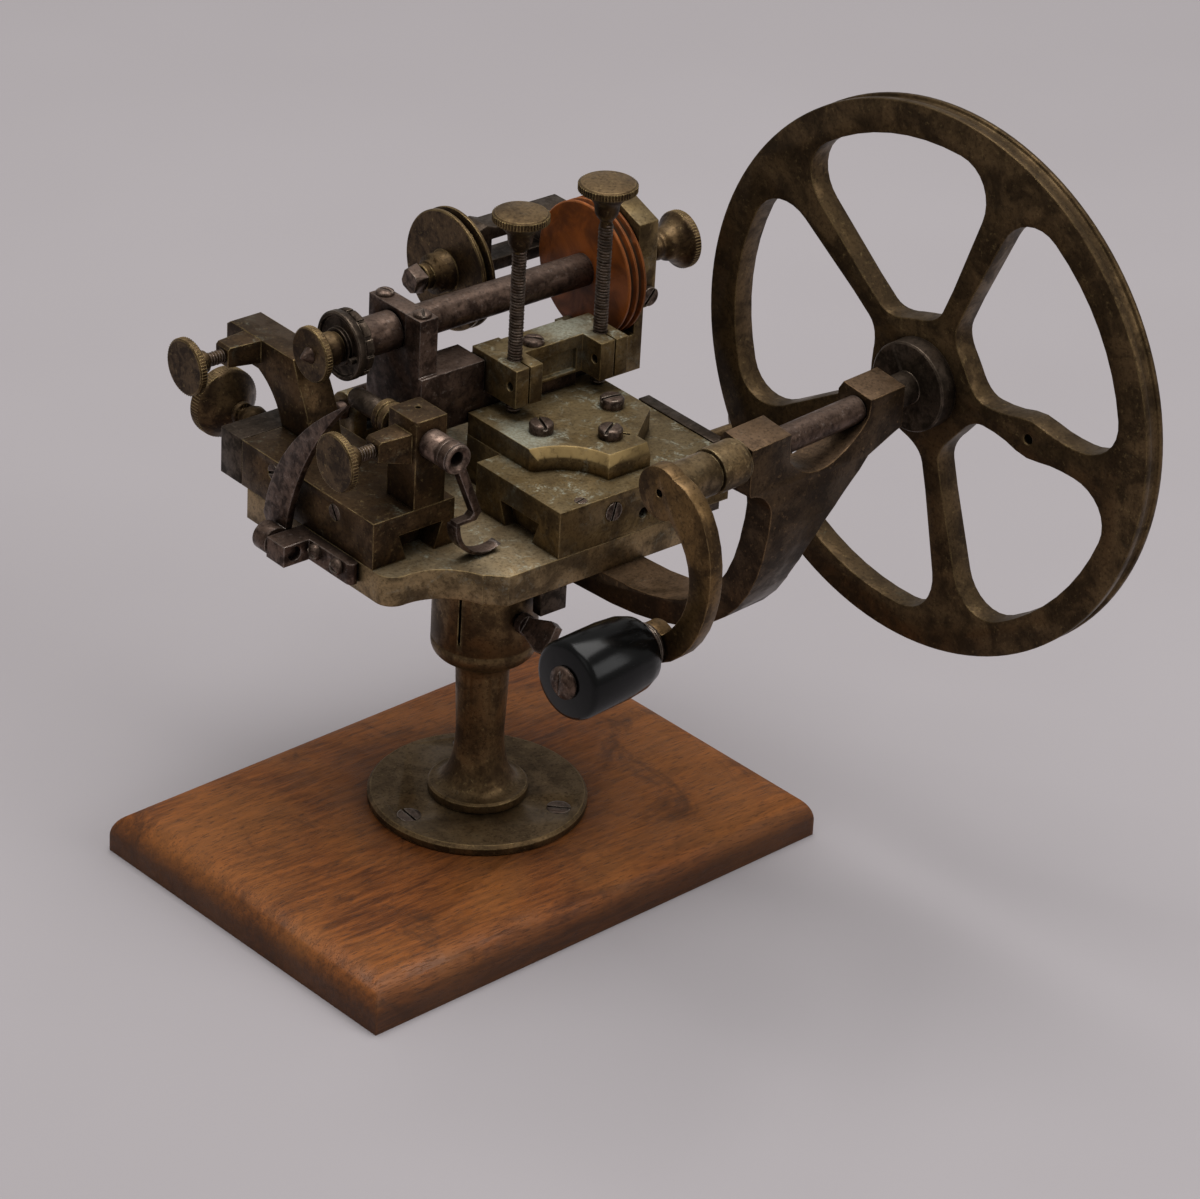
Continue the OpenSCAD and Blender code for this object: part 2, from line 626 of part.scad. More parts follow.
face_screw = [saddle_x0 + 18.3, slide_top - 5];
plug_at = [saddle_x0 + 8.9, saddle_front + 2.6];
module saddle() {
  x1 = saddle_x1 - part_gap;
  color("olive") difference() {
    union() {
      bar([saddle_x0, x1], [saddle_front, saddle_mid], [slide_z, slide_top]);
      bar([saddle_x0 + 7.9, x1], [saddle_mid - 1, saddle_rear], [slide_z, slide_top]);
    }
    translate([0, saddle_rail_y, plate_top]) plate_yz([saddle_x0 - 1, x1 + 1])
      dovetail_bar(saddle_rail_half, saddle_rail_h, slide_gap);
    rod_x(feed_d / 2 + run_fit, [saddle_x0 + 18, x1 + 1], lead_y, lead_z);
    rod_y(2.75, [saddle_front - 1, saddle_front + 4], face_screw[0], face_screw[1]);
    rod_y(1.6, [saddle_front - 1, saddle_front + 3], face_screw[0] + 10.4, face_screw[1] - 3.5);
    rod_z(1.75, [slide_top - 3, slide_top + 1], plug_at[0], plug_at[1]);
    for (s = cam_screw_at) rod_z(1.3, [slide_top - 4, slide_top + 1], s[0], s[1]);
  }
}

module saddle_screws() {
  color("dimgray") {
    translate([face_screw[0], saddle_front + 3.9, face_screw[1]]) rotate([90, 0, 0]) rotate(75)
      slotted(2.7, 4.1);
    translate([plug_at[0], plug_at[1], slide_top - 2.9]) rotate(10) slotted(1.7, 3, 0.5);
  }
}

// Cam plate with a concave bevelled front, a notch and a raking right edge
cam_screw_at = [[16.7, 0.2], [29.9, -12.4], [41.6, 0.9]];
cam_x0 = saddle_x0 + 8;
cam_front = -22;
cam_hollow = [cam_x0 - 2, -23.5];
cam_hollow_r = 16;
module cam_outline() {
  difference() {
    polygon([[cam_x0, saddle_rear], [cam_x0, -6.2], [cam_x0 + 1, -7.3], [cam_x0 + 13, -20],
      [cam_x0 + 13.6, cam_front], [36, cam_front], [36.2, -16], [49.4, -5.8], [50, -0.5], [50, saddle_rear]]);
    translate(cam_hollow) circle(cam_hollow_r);
  }
}
module cam_plate() {
  rise = min(cam_bevel * 1.78, cam_thk - 1);
  s = cam_bevel / rise;
  z = cam_top - rise;
  color("darkkhaki") difference() {
    translate([0, 0, slide_top]) linear_extrude(cam_thk) cam_outline();
    translate([cam_hollow[0], cam_hollow[1], z - 1])
      cylinder(r1 = cam_hollow_r - s, r2 = cam_hollow_r + cam_bevel + s, h = rise + 2);
    plate_yz([cam_x0 + 12, 37]) polygon([[cam_front - 3, z - 1], [cam_front - s, z - 1],
      [cam_front + cam_bevel + s, cam_top + 1], [cam_front - 3, cam_top + 1]]);
    for (s = cam_screw_at) rod_z(1.3, [slide_top - 1, cam_top + 1], s[0], s[1]);
    translate([34.8, -14.6, slide_top - 1]) rotate(38) cube([0.9, 4.2, cam_thk + 2]);
  }
}

module cam_screws() {
  color("gray") for (i = [0:2]) translate([cam_screw_at[i][0], cam_screw_at[i][1], cam_top]) {
    difference() {
      turn_z([[0, 0], [cheese_d / 2, 0], [cheese_d / 2, 2.4], [cheese_d / 2 - 0.4, 2.9], [0, 3]]);
      rotate(70 - 40 * i) translate([-6, -0.45, 1.9]) cube([12, 0.9, 2]);
    }
    translate([0, 0, -cam_thk - 3]) cylinder(r = 1.25, h = cam_thk + 3.5);
  }
}

bar_x = [plate_right, plate_right + thrust_thk];
module thrust_bar() {
  color("slategray") difference() {
    bar(bar_x, [saddle_front + 7.5, saddle_mid + 3.7], [plate_z + 1, slide_top + 0.3]);
    rod_x(feed_d / 2 + run_fit, [bar_x[0] - 1, bar_x[1] + 1], lead_y, lead_z);
    for (y = bar_screw_y) rod_x(1.3, [bar_x[0] - 1, bar_x[1] + 1], y, plate_z + 4.6);
  }
}

bar_screw_y = [saddle_front + 10.5, saddle_mid + 1];
module thrust_bar_screws() {
  color("dimgray") for (y = bar_screw_y) translate([bar_x[1], y, plate_z + 4.6]) rotate([0, 90, 0]) {
    slotted(2.4, 1.8);
    translate([0, 0, -thrust_thk + 0.1]) cylinder(r = 1.25, h = thrust_thk);
  }
}

// Feed screw of the saddle, with a domed collar and a knob of two knurled rims
module lead_screw() {
  r = lead_knob_d / 2;
  x = bar_x[1] + part_gap;
  k = bar_x[1] + 25.2;
  color("darkkhaki") union() {
    rod_x(feed_d / 2, [saddle_x0 + 20, x + 1], lead_y, lead_z);
    turn_x([[0, x], [7.7, x], [7.7, x + 0.9], [6.4, x + 2.4], [3.6, x + 3.4], [2, x + 3.6], [2, k - 2],
      [3.4, k - 1.6], [r - 1.4, k], [r, k + 0.5], [r, k + 3], [r - 1, k + 3.6], [r - 1, k + 4.8],
      [r, k + 5.4], [r, k + 7.9], [r - 0.5, k + 8.4], [0, k + 8.4]], lead_y, lead_z);
  }
}

post_y = [21.2, 43.2];
cap_y = 27.4;
module swing_frame() {
  r = spindle_d / 2;
  color("dimgray") difference() {
    union() {
      bar([head_x0, head_x1], post_y, [frame_z + 3, spindle_z]);
      bar([head_x0, head_x1], [post_y[0], cap_y], [spindle_z - 1, spindle_z + 6.8]);
      bar([head_x0 + 5, 12.9], [20, 31.5], [frame_z, frame_z + 17]);
      bar([head_x0, -2], [20, 31.5], [frame_z + 5, frame_z + 17]);
      translate([head_x0 + 5.2, 20, frame_z + 5.2]) rotate([-90, 0, 0]) cylinder(r = 5.2, h = 11.5);
      bar([12.8, 51.6], [20, 38], [frame_z, cross_z]);
      bar([22.6, 41.8], [stop_y + stop_d / 2 + 0.6, 20.1], [cam_top + part_gap, cross_z]);
      bar([12.8, 51.6], [cross_back + 0.1, 31], [cross_z - 1, cross_z + 6]);
      bar(knuckle, [31, 38.2], [frame_z, frame_z + 9]);
      plate_yz(knuckle) polygon([[36, frame_z], [36, frame_z + 9], [44, frame_z + 6],
        [hinge_y + 3.9, hinge_z + 3.2], [hinge_y - 1, hinge_z - 4.9], [hinge_y - 6, frame_z - 3.4]]);
      rod_x(5, knuckle, hinge_y, hinge_z);
    }
    rod_x(r + run_fit, [head_x0 - 1, head_x1 + 1], spindle_y, spindle_z);
    rod_x(5.4, [head_x0 - 1, head_x0 + 1.6], spindle_y, spindle_z);
    rod_x(hinge_pin_d / 2 + run_fit, [knuckle[0] - 1, knuckle[1] + 1], hinge_y, hinge_z);
    rod_z(1.45, [spindle_z - 5, spindle_z + 1], (head_x0 + head_x1) / 2, post_y[1] - 3);
    rod_z(1.45, [spindle_z + 1, spindle_z + 8], (head_x0 + head_x1) / 2, post_y[0] + 3);
    rod_z(1.25, [cross_z - 7, cross_z + 1], cross_screw[0], cross_screw[1]);
  }
}

module bearing_cap() {
  r = spindle_d / 2;
  color("gray") difference() {
    bar([head_x0, head_x1], [cap_y + 0.05, post_y[1]], [spindle_z, spindle_z + 6.8]);
    rod_x(r + run_fit, [head_x0 - 1, head_x1 + 1], spindle_y, spindle_z);
    rod_x(5.4, [head_x0 - 1, head_x0 + 1.6], spindle_y, spindle_z);
    rod_z(1.45, [spindle_z - 1, spindle_z + 8], (head_x0 + head_x1) / 2, post_y[1] - 3);
  }
}

module cap_screws() {
  x = (head_x0 + head_x1) / 2;
  color("gray") for (s = [[post_y[1] - 3, 9.5], [post_y[0] + 3, 5]])
    translate([x, s[0], spindle_z + 6.8]) {
      difference() {
        turn_z([[0, 0], [2.5, 0], [2.4, 0.8], [1.6, 1.3], [0, 1.5]]);
        rotate(s[1] * 12) translate([-4, -0.35, 0.7]) cube([8, 0.7, 2]);
      }
      translate([0, 0, -s[1]]) cylinder(r = 1.4, h = s[1] + 0.5);
    }
}

// Brass crosspiece with a split clamp at each end for the stop screws
cross_screw = [27.8, 18.2];
cross_back = 25.9;
module crosspiece() {
  z = [cross_z, cross_z + cross_h];
  color("olive") difference() {
    union() {
      bar([stop_x[0] - 4.5, stop_x[0] + 4.4], [stop_y - 6.4, cross_back + 0.1], z);
      bar([stop_x[1] - 4.9, stop_x[1] + 4.4], [stop_y - 6.4, cross_back - 2], z);
      bar([stop_x[0] + 4, stop_x[1] - 4], [stop_y + 1.3, cross_back - 1], z);
    }
    for (x = stop_x) {
      rod_z(stop_d / 2 + run_fit, [z[0] - 1, z[1] + 1], x, stop_y);
      bar([x - 0.2, x + 0.35], [stop_y - 7, stop_y], [z[0] - 1, z[1] + 1]);
      rod_x(1.3, [x - 8, x + 3.4], stop_y - 3.9, z[0] + 5.6);
    }
    bar([stop_x[0] + 4.5, stop_x[0] + 22.6], [stop_y + 1, stop_y + 2.9], [z[0] + 0.8, z[1] - 3.7]);
    rod_z(1.25, [z[0] - 1, z[1] + 1], cross_screw[0], cross_screw[1]);
  }
}

module crosspiece_screw() {
  color("gray") translate([cross_screw[0], cross_screw[1], cross_z + cross_h]) {
    difference() {
      turn_z([[0, 0], [3, 0], [3, 0.9], [2.5, 1.5], [0, 1.7]]);
      rotate(-50) translate([-6, -0.45, 0.8]) cube([12, 0.9, 2]);
    }
    translate([0, 0, -cross_h - 3.6]) cylinder(r = 1.2, h = cross_h + 4.1);
  }
}

// Stop screw with a flat point, a plain neck and a mushroom head
module stop_screw(x, head_d, rise) {
  r = stop_d / 2;
  h = head_d / 2;
  z = cam_top + 0.05;
  t = cam_top + stop_h + rise;
  turn_z([[0, z], [r - 0.7, z], [r, z + 0.8], [r, t - 10.8], [r + 0.9, t - 9.9], [r + 1.3, t - 8.4],
    [r + 1.7, t - 6.4], [r + 2.4, t - 5], [h - 1.6, t - 3.2], [h, t - 2.6],
    [h, t - 0.9], [h - 0.5, t - 0.4], [h - 2.4, t], [0, t]], x, stop_y);
}
module stop_screw_left() { color("darkkhaki") stop_screw(stop_x[0], stop_head_l, 0); }
module stop_screw_right() { color("darkkhaki") stop_screw(stop_x[1], stop_head_r, stop_step); }

// Brass foot and upright that carry the tail of the spindle
tail_x = [pulley_x[1] + part_gap, pulley_x[1] + 6.9];
module tail_upright() {
  foot_z = [frame_z, frame_z + 11];
  color("olive") difference() {
    union() {
      bar([51.9, tail_x[0] + 2.9], [18.6, 38], foot_z);
      bar([tail_x[0], tail_x[0] + 2.9], [18.6, 42], [frame_z, spindle_z]);
      plate_yz(tail_x) polygon([[18.6, spindle_z - 5.2], [18.6, spindle_z + 16.8], [29, spindle_z + 20.6],
        [38, spindle_z + 20], [42, spindle_z + 16], [42, spindle_z - 5.2]]);
      rod_y(3.2, [18.6, 42], tail_x[1] - 3.2, spindle_z - 5.2);
    }
    rod_x(pulley_d / 2 + 0.6, [pulley_x[0] - 0.5, tail_x[0]], spindle_y, spindle_z);
    rod_x(tail_thread / 2 + run_fit, [tail_x[0] - 1, tail_x[1] + 1], spindle_y, spindle_z);
    rod_y(1.3, [18, 24.4], tail_x[1] - 2.6, spindle_z - 4.8);
  }
}

module upright_screw() {
  color("dimgray") translate([tail_x[1] - 2.6, 18.6, spindle_z - 4.8]) rotate([90, 0, 0]) {
    rotate(50) slotted(2.7, 1.4, 0.9, 1);
    translate([0, 0, -5.5]) cylinder(r = 1.25, h = 6);
  }
}

// Pointed tail screw with a waisted knurled knob
tail_thread = 4;
module tail_screw() {
  r = tail_thread / 2;
  color("darkkhaki") turn_x([[0, pulley_x[1] - 2.2], [1.6, pulley_x[1] - 0.6], [r, pulley_x[1] - 0.1],
    [r, 80], [3.6, 80.4], [3.9, 82.5], [3.4, 83.4], [4.6, 85], [5.2, 87], [6.6, 89], [7.6, 89.9],
    [8, 90.3], [8, 92.4], [7.5, 92.8], [3, 93.2], [0, 93.2]], spindle_y, spindle_z);
}

// Spindle with its front shoulder, its reduced ends and its centre point
module spindle() {
  r = spindle_d / 2;
  color("rosybrown") difference() {
    turn_x([[0, -38.4], [0.3, -38.2], [1.9, -35.9], [2.3, -35.4], [2.3, -20.7], [r + 0.6, -20.7],
      [r + 0.8, -20.4], [r + 0.8, head_x0 - part_gap], [r, head_x0 - part_gap], [r, pulley_x[0]],
      [3, pulley_x[0]], [3, pulley_x[1] - 0.2], [0, pulley_x[1] - 0.2]], spindle_y, spindle_z);
    turn_x([[0, pulley_x[1] - 2.6], [2.2, pulley_x[1] - 0.4], [2.2, pulley_x[1] + 1],
      [0, pulley_x[1] + 1]], spindle_y, spindle_z);
  }
}

// Fibre pulley with two cord grooves
module spindle_pulley() {
  r = pulley_d / 2;
  x = pulley_x[0];
  color("orangered") difference() {
    turn_x([[0, x], [r - 0.3, x], [r, x + 0.3], [r, x + 0.8], [r - 1.7, x + 1.6], [r - 1.7, x + 2.1],
      [r, x + 2.9], [r, x + 3.5], [r - 1.7, x + 4.3], [r - 1.7, x + 4.8], [r, x + 5.6], [r, x + 6.1],
      [r - 0.3, x + 6.4], [0, x + 6.4]], spindle_y, spindle_z);
    rod_x(3.02, [x - 1, x + 8], spindle_y, spindle_z);
  }
}

// Two discs that hold the cutter, the front one recessed
module cutter_flange() {
  r = cutter_flange_d / 2;
  color("darkslategray") difference() {
    union() {
      turn_x([[0, -26.4], [5.2, -26.4], [5.2, -25.2], [r - 1.6, -25.2], [r - 1.2, -26], [r - 0.4, -26],
        [r, -25.6], [r, -23.9], [r - 0.8, -23.7], [r - 0.8, -23.3], [r - 0.2, -23.1], [r - 0.2, -21.2],
        [r - 0.6, -20.8], [0, -20.8]], spindle_y, spindle_z);
      translate([-27.2, spindle_y - 6.4, spindle_z - 1.6]) rotate([0, 90, 0]) cylinder(r = 0.9, h = 3);
    }
    rod_x(2.32, [-28, -20], spindle_y, spindle_z);
    for (a = [0:30:330]) translate([0, spindle_y, spindle_z]) rotate([a, 0, 0])
      bar([-23.2, -20], [r - 1, r + 1], [-0.5, 0.5]);
  }
}

module spindle_nut() {
  r = spindle_nut_d / 2;
  color("darkkhaki") difference() {
    turn_x([[0, -35.3], [r - 0.3, -35.3], [r, -35], [r, -33.3], [r - 0.3, -33], [4.2, -32.8], [3.9, -31.6],
      [4.5, -30.4], [4.6, -27.9], [4.2, -27.4], [4.2, -26.6], [0, -26.6]], spindle_y, spindle_z);
    rod_x(2.3 + run_fit, [-37, -26], spindle_y, spindle_z);
  }
}

// Slotted arm behind the head that carries the idler pulley's stud
module idler_arm() {
  z = idler_z;
  t = [idler_y - 4, idler_y + 4];
  color("darkslategray") difference() {
    union() {
      plate_xz(t) polygon([[34, z - 4.6], [41.5, z - 4.6], [43.5, z - 2.4], [tail_x[1], z - 2.4],
        [tail_x[1], z + 10.8], [43, z + 10.8], [40, z + 12], [37, z + 11], [34, z + 8]]);
      bar([tail_x[0] + part_gap, tail_x[1]], [42, t[0] + 1], [z - 2.4, z + 10.8]);
    }
    bar([42, 61], [t[0] - 1, t[1] + 1], [z + 1, z + 7.4]);
    rod_x(stud_d / 2 + 0.02, [30, 41.9], idler_y, z);
  }
}

module idler_stud() {
  r = stud_d / 2;
  z = idler_z;
  s = 2.9;
  color("dimgray") {
    rod_x(r, [20.6, 41.9], idler_y, z);
    translate([18.8, idler_y, z]) rotate([20, 0, 0]) intersection() {
      bar([-1.9, 1.9], [-s, s], [-s, s]);
      translate([-1.9, 0, 0]) rotate([0, 90, 0]) cylinder(r1 = s * 1.15, r2 = s * 1.45, h = 3.8);
    }
  }
}

module idler_pulley() {
  r = idler_d / 2;
  color("darkkhaki") difference() {
    turn_x([[0, 20.9], [3.4, 20.9], [3.6, 21.1], [3.6, 22.8], [3.3, 23], [4.2, 23.2], [4.2, 24.4],
      [5.6, 24.6], [5.6, 28.6], [6, 29], [r - 0.3, 29], [r, 29.3], [r, 30], [r - 2, 30.9],
      [r - 2, 31.5], [r, 32.4], [r, 33.1], [r - 0.3, 33.4], [0, 33.4]], idler_y, idler_z);
    rod_x(stud_d / 2 + run_fit, [18, 36], idler_y, idler_z);
  }
}

// Cast bracket: a swan-necked arm that spreads into a web with two bearings
block_a = [5.5, 19.4];
block_b = [49.1, 61.8];
module bracket_profile() {
  y = crank_y;
  z = crank_z;
  p = plate_z;
  inner = bez2([-34, p], [y + 2.6, p - 1.5], [y + 2.6, z - 12.9]);
  outer = bez2([-34, p - 7.7], [y - 6.8, p - 5.8], [y - 5.8, z - 14]);
  polygon(concat([[-10, p - 7.7], [-10, p]], inner, [[y + 6.5, z - 8.3], [y + 6.5, z + 3.4],
    [y + 5, z + 5.9], [y - 4.8, z + 4.3], [y - 4.8, z - 8]], rev(outer)));
}
module bracket_outline() {
  z = crank_z;
  polygon(concat([[block_a[0], z + 20], [block_a[0], z - 8]],
    arc([block_a[0] + 0.1, z - 16.5], 7.5, 88, 4, 6),
    [[12.6, z - 25], [12.6, plate_z - 15], [27, plate_z - 15], [27, z - 41]],
    bez3([27, z - 40], [30, z - 26], [43, z - 16], [49, z - 11.2], 12),
    [[56, z - 9], [block_b[1], z - 7.2], [block_b[1], z + 20], [block_b[0], z + 20]],
    [[block_b[0], z + 2.3]], bez3([block_b[0] - 0.5, z - 0.5], [44, z - 7.5], [28, z - 15], [block_a[1] + 0.4, z - 3.6], 12),
    [[block_a[1], z + 4], [block_a[1], z + 20]]));
}
module crank_bracket() {
  color("saddlebrown") crank_frame() difference() {
    intersection() {
      plate_yz([block_a[0], block_b[1]]) bracket_profile();
      plate_xz([crank_y - 20, 0]) bracket_outline();
    }
    rod_x(shaft_d / 2 + run_fit, [0, 80], crank_y, crank_z);
    rod_x(shaft_sleeve_d / 2 + part_gap, [block_a[1], block_b[0]], crank_y, crank_z);
  }
}

crank_x = block_a[0] - 28;
wheel_x = block_b[1] + 11.6;
module crank_shaft() {
  r = shaft_d / 2;
  x1 = wheel_x + wheel_thk + 1.6;
  color("rosybrown") crank_frame() turn_x([[0, crank_x + 1.2], [r, crank_x + 1.2], [r, x1 - 0.6],
    [r - 0.6, x1], [0, x1]], crank_y, crank_z);
}

module shaft_collar() {
  x = crank_x + crank_thk;
  e = block_a[0] - part_gap;
  color("darkkhaki") crank_frame() difference() {
    turn_x([[0, x], [6.4, x], [5.7, x + 3.5], [5.7, x + 12.2], [5, x + 12.4], [5, x + 13.2],
      [6.1, x + 13.4], [6.1, e - 1.2], [5.6, e - 1], [5.6, e], [0, e]], crank_y, crank_z);
    rod_x(shaft_d / 2 + 0.02, [x - 1, e + 1], crank_y, crank_z);
  }
}

module shaft_sleeve() {
  color("rosybrown") crank_frame() difference() {
    rod_x(shaft_sleeve_d / 2, [block_a[1] + part_gap, block_b[0] - part_gap], crank_y, crank_z);
    rod_x(shaft_d / 2 + 0.02, [block_a[1] - 1, block_b[0] + 1], crank_y, crank_z);
  }
}

// C-shaped flat crank arm between two round eyes
module crank_arm() {
  c = [crank_y, crank_z];
  k = crank_r / 42.5;
  outer = bez3([-4.6, 5.6], [-24, 2 * k], [-24, -38 * k], [-3.4, -4.2 - crank_r]);
  inner = bez3([-1, -4], [-16, -12 * k], [-15, -31 * k], [-1.5, 2.2 - crank_r]);
  color("saddlebrown") crank_frame() difference() {
    plate_yz([crank_x, crank_x + crank_thk]) translate(c) difference() {
      union() {
        circle(7.1);
        translate([0, -crank_r]) circle(5.3);
        polygon(concat(outer, rev(inner)));
      }
      circle(1.1);
    }
    rod_x(shaft_d / 2 + 0.02, [crank_x + 1.1, crank_x + crank_thk + 1], crank_y, crank_z);
    rod_x(pin_r + 0.02, [crank_x - 1, crank_x + crank_thk + 1], crank_y, crank_z - crank_r);
  }
}

// Handle pin, riveted in the arm, with a domed slotted head at the handle's end
pin_r = 2.4;
handle_x1 = crank_x - part_gap;
handle_x0 = handle_x1 - 3.2 - handle_len;
module handle_pin() {
  color("rosybrown") crank_frame() translate([0, crank_y, crank_z - crank_r]) difference() {
    turn_x([[0, handle_x0 - 2.6], [2.6, handle_x0 - 2.2], [4.3, handle_x0 - 1], [4.4, handle_x0 - part_gap],
      [pin_r, handle_x0 - part_gap], [pin_r, crank_x + crank_thk + 0.8], [1.6, crank_x + crank_thk + 1.5],
      [0, crank_x + crank_thk + 1.7]], 0, 0);
    bar([handle_x0 - 4, handle_x0 - 1.5], [-0.5, 0.5], [-6, 6]);
  }
}

module handle() {
  r = handle_d / 2;
  color("black") crank_frame() translate([0, crank_y, crank_z - crank_r]) difference() {
    turn_x([[0, handle_x0], [r - 1.6, handle_x0], [r - 0.6, handle_x0 + 0.4], [r, handle_x0 + 1.5],
      [r, handle_x0 + handle_len * 0.6], [r - 0.5, handle_x0 + handle_len * 0.82],
      [r - 1.6, handle_x0 + handle_len - 1.4], [r - 3, handle_x0 + handle_len - 0.4],
      [6, handle_x1 - 3.2], [6, handle_x1 - 2], [5.4, handle_x1 - 1.7], [5.6, handle_x1 - 1.2],
      [5.2, handle_x1], [0, handle_x1]], 0, 0);
    rod_x(pin_r + run_fit, [handle_x0 - 1, handle_x1 + 1], 0, 0);
  }
}

module wheel_boss() {
  x = block_b[1] + part_gap;
  d = wheel_x - 5.2;
  color("darkslategray") crank_frame() difference() {
    turn_x([[0, x], [4.4, x], [4.4, d], [11.8, d], [12.2, d + 0.4], [12.2, wheel_x], [0, wheel_x]],
      crank_y, crank_z);
    rod_x(shaft_d / 2 + 0.02, [x - 1, wheel_x + 1], crank_y, crank_z);
  }
}

// Hand wheel: rounded windows leave five spokes, one of them with a bored swelling
spokes = 5;
wheel_phase = 183;
hub_r = 17;
out_fillet = 13;
in_fillet = 5.5;
bulge_at = 37;
function spoke_half(r, bulge) =
  let (ro = wheel_d / 2 - rim_w, a = max(0, r - (ro - out_fillet)), b = max(0, hub_r + in_fillet - r))
  spoke_w / 2 + 0.045 * max(0, r - 30) + out_fillet - sqrt(max(0, pow(out_fillet, 2) - a * a))
  + in_fillet - sqrt(max(0, pow(in_fillet, 2) - b * b))
  + (bulge ? 2.1 * exp(-pow((r - bulge_at) / 7, 2)) : 0);
module wheel_window(i) {
  ro = wheel_d / 2 - rim_w;
  steps = concat([for (t = [0:6]) hub_r + in_fillet * (1 - cos(t * 15))],
    [for (t = [1:7]) hub_r + in_fillet + t * (ro - out_fillet - hub_r - in_fillet) / 8],
    [for (t = [0:8]) ro - out_fillet + out_fillet * sin(t * 11.25)]);
  a0 = wheel_phase + i * 360 / spokes;
  a1 = a0 + 360 / spokes;
  low = [for (r = steps) let (g = a0 + asin(spoke_half(r, i == 0) / r)) r * [cos(g), sin(g)]];
  high = [for (r = steps) let (g = a1 - asin(spoke_half(r, i == spokes - 1) / r)) r * [cos(g), sin(g)]];
  n = len(steps) - 1;
  g0 = a0 + asin(spoke_half(ro, false) / ro);
  g1 = a1 - asin(spoke_half(ro, false) / ro);
  polygon(concat(low, [for (t = [1:7]) let (g = g0 + (g1 - g0) * t / 8) ro * [cos(g), sin(g)]], rev(high)));
}
module hand_wheel() {
  r = wheel_d / 2;
  w = wheel_x;
  color("saddlebrown") crank_frame() difference() {
    plate_yz([w, w + wheel_thk]) translate([crank_y, crank_z]) difference() {
      circle(r, $fn = 180);
      for (i = [0:spokes - 1]) wheel_window(i);
      rotate(wheel_phase) translate([bulge_at, 0]) circle(1.4);
      circle(shaft_d / 2 + 0.02);
    }
    turn_x([[r + 1, w + 1.6], [r - 0.9, w + 2.3], [r - 0.9, w + wheel_thk - 1.5], [r + 1, w + wheel_thk - 0.8]],
      crank_y, crank_z);
  }
}

wooden_base();
base_screws();
column_flange();
column_stem();
column_clamp_screw();
main_plate();
foot_clamp();
carriage_rail();
saddle_rail();
horn_bracket();
horn_screws();
centring_horn();
hinge_block();
hinge_pin();
feed_end_plate();
carriage_screw();
carriage_slide();
gib_screws();
runner_post();
front_sleeve();
front_runner();
runner_collars();
front_clamp_screw();
claw_lever();
rear_arm();
rear_runner();
rear_clamp_screw();
saddle();
saddle_screws();
cam_plate();
cam_screws();
thrust_bar();
thrust_bar_screws();
lead_screw();
swing_frame();
bearing_cap();
cap_screws();
crosspiece();
crosspiece_screw();
stop_screw_left();
stop_screw_right();
tail_upright();
upright_screw();
tail_screw();
spindle();
spindle_pulley();
cutter_flange();
spindle_nut();
idler_arm();
idler_stud();
idler_pulley();
crank_bracket();
crank_shaft();
shaft_collar();
shaft_sleeve();
crank_arm();
handle_pin();
handle();
wheel_boss();
hand_wheel();
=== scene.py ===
"""Looks of the rounding-up tool: aged brass, grey steel, red fibre, ebony and a waxed wooden stand."""

import json
import math

import bmesh
import bpy
from mathutils import Matrix, Vector


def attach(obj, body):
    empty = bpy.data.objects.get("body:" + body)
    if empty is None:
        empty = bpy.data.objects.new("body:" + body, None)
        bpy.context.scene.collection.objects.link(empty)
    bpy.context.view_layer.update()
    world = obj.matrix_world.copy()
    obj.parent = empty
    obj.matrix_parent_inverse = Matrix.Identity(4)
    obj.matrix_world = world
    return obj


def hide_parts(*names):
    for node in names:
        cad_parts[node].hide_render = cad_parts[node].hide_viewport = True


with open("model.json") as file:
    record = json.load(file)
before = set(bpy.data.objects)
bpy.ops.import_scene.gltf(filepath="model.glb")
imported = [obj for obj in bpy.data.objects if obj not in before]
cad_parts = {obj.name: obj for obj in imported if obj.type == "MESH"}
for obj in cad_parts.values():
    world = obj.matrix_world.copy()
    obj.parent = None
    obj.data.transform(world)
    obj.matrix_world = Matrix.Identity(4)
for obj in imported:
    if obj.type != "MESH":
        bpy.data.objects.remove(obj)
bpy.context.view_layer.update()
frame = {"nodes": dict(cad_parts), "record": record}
NODES = frame["nodes"]
BODIES = frame["record"]["behaviour"]["bodies"]
BODY_OF = {node: body for body, members in BODIES.items() for node in members}
SLOT_OF = {s["node"]: s["material_slot"] for s in frame["record"]["subparts"]}
MM = 0.001

# Places of the part's hand screws, in millimetres
SPINDLE = (33.1, 143.6)
LEAD = (-3.0, 102.6)
CARRIAGE_KNOB = (-30.5, 76.8, 110.3)
RUNNER_Z = 132.0
THUMB_X = -52.8


# Camera and lights

PHOTO_WIDTH = 1200
FOCAL_PIXELS = 4782.4
CAMERA_PLACE = (-0.7101, -0.8500, 0.6998)
CAMERA_DOWN = 29.365
CAMERA_HEADING = 48.553
CAMERA_ROLL = 3.241
SENSOR_WIDTH = 36


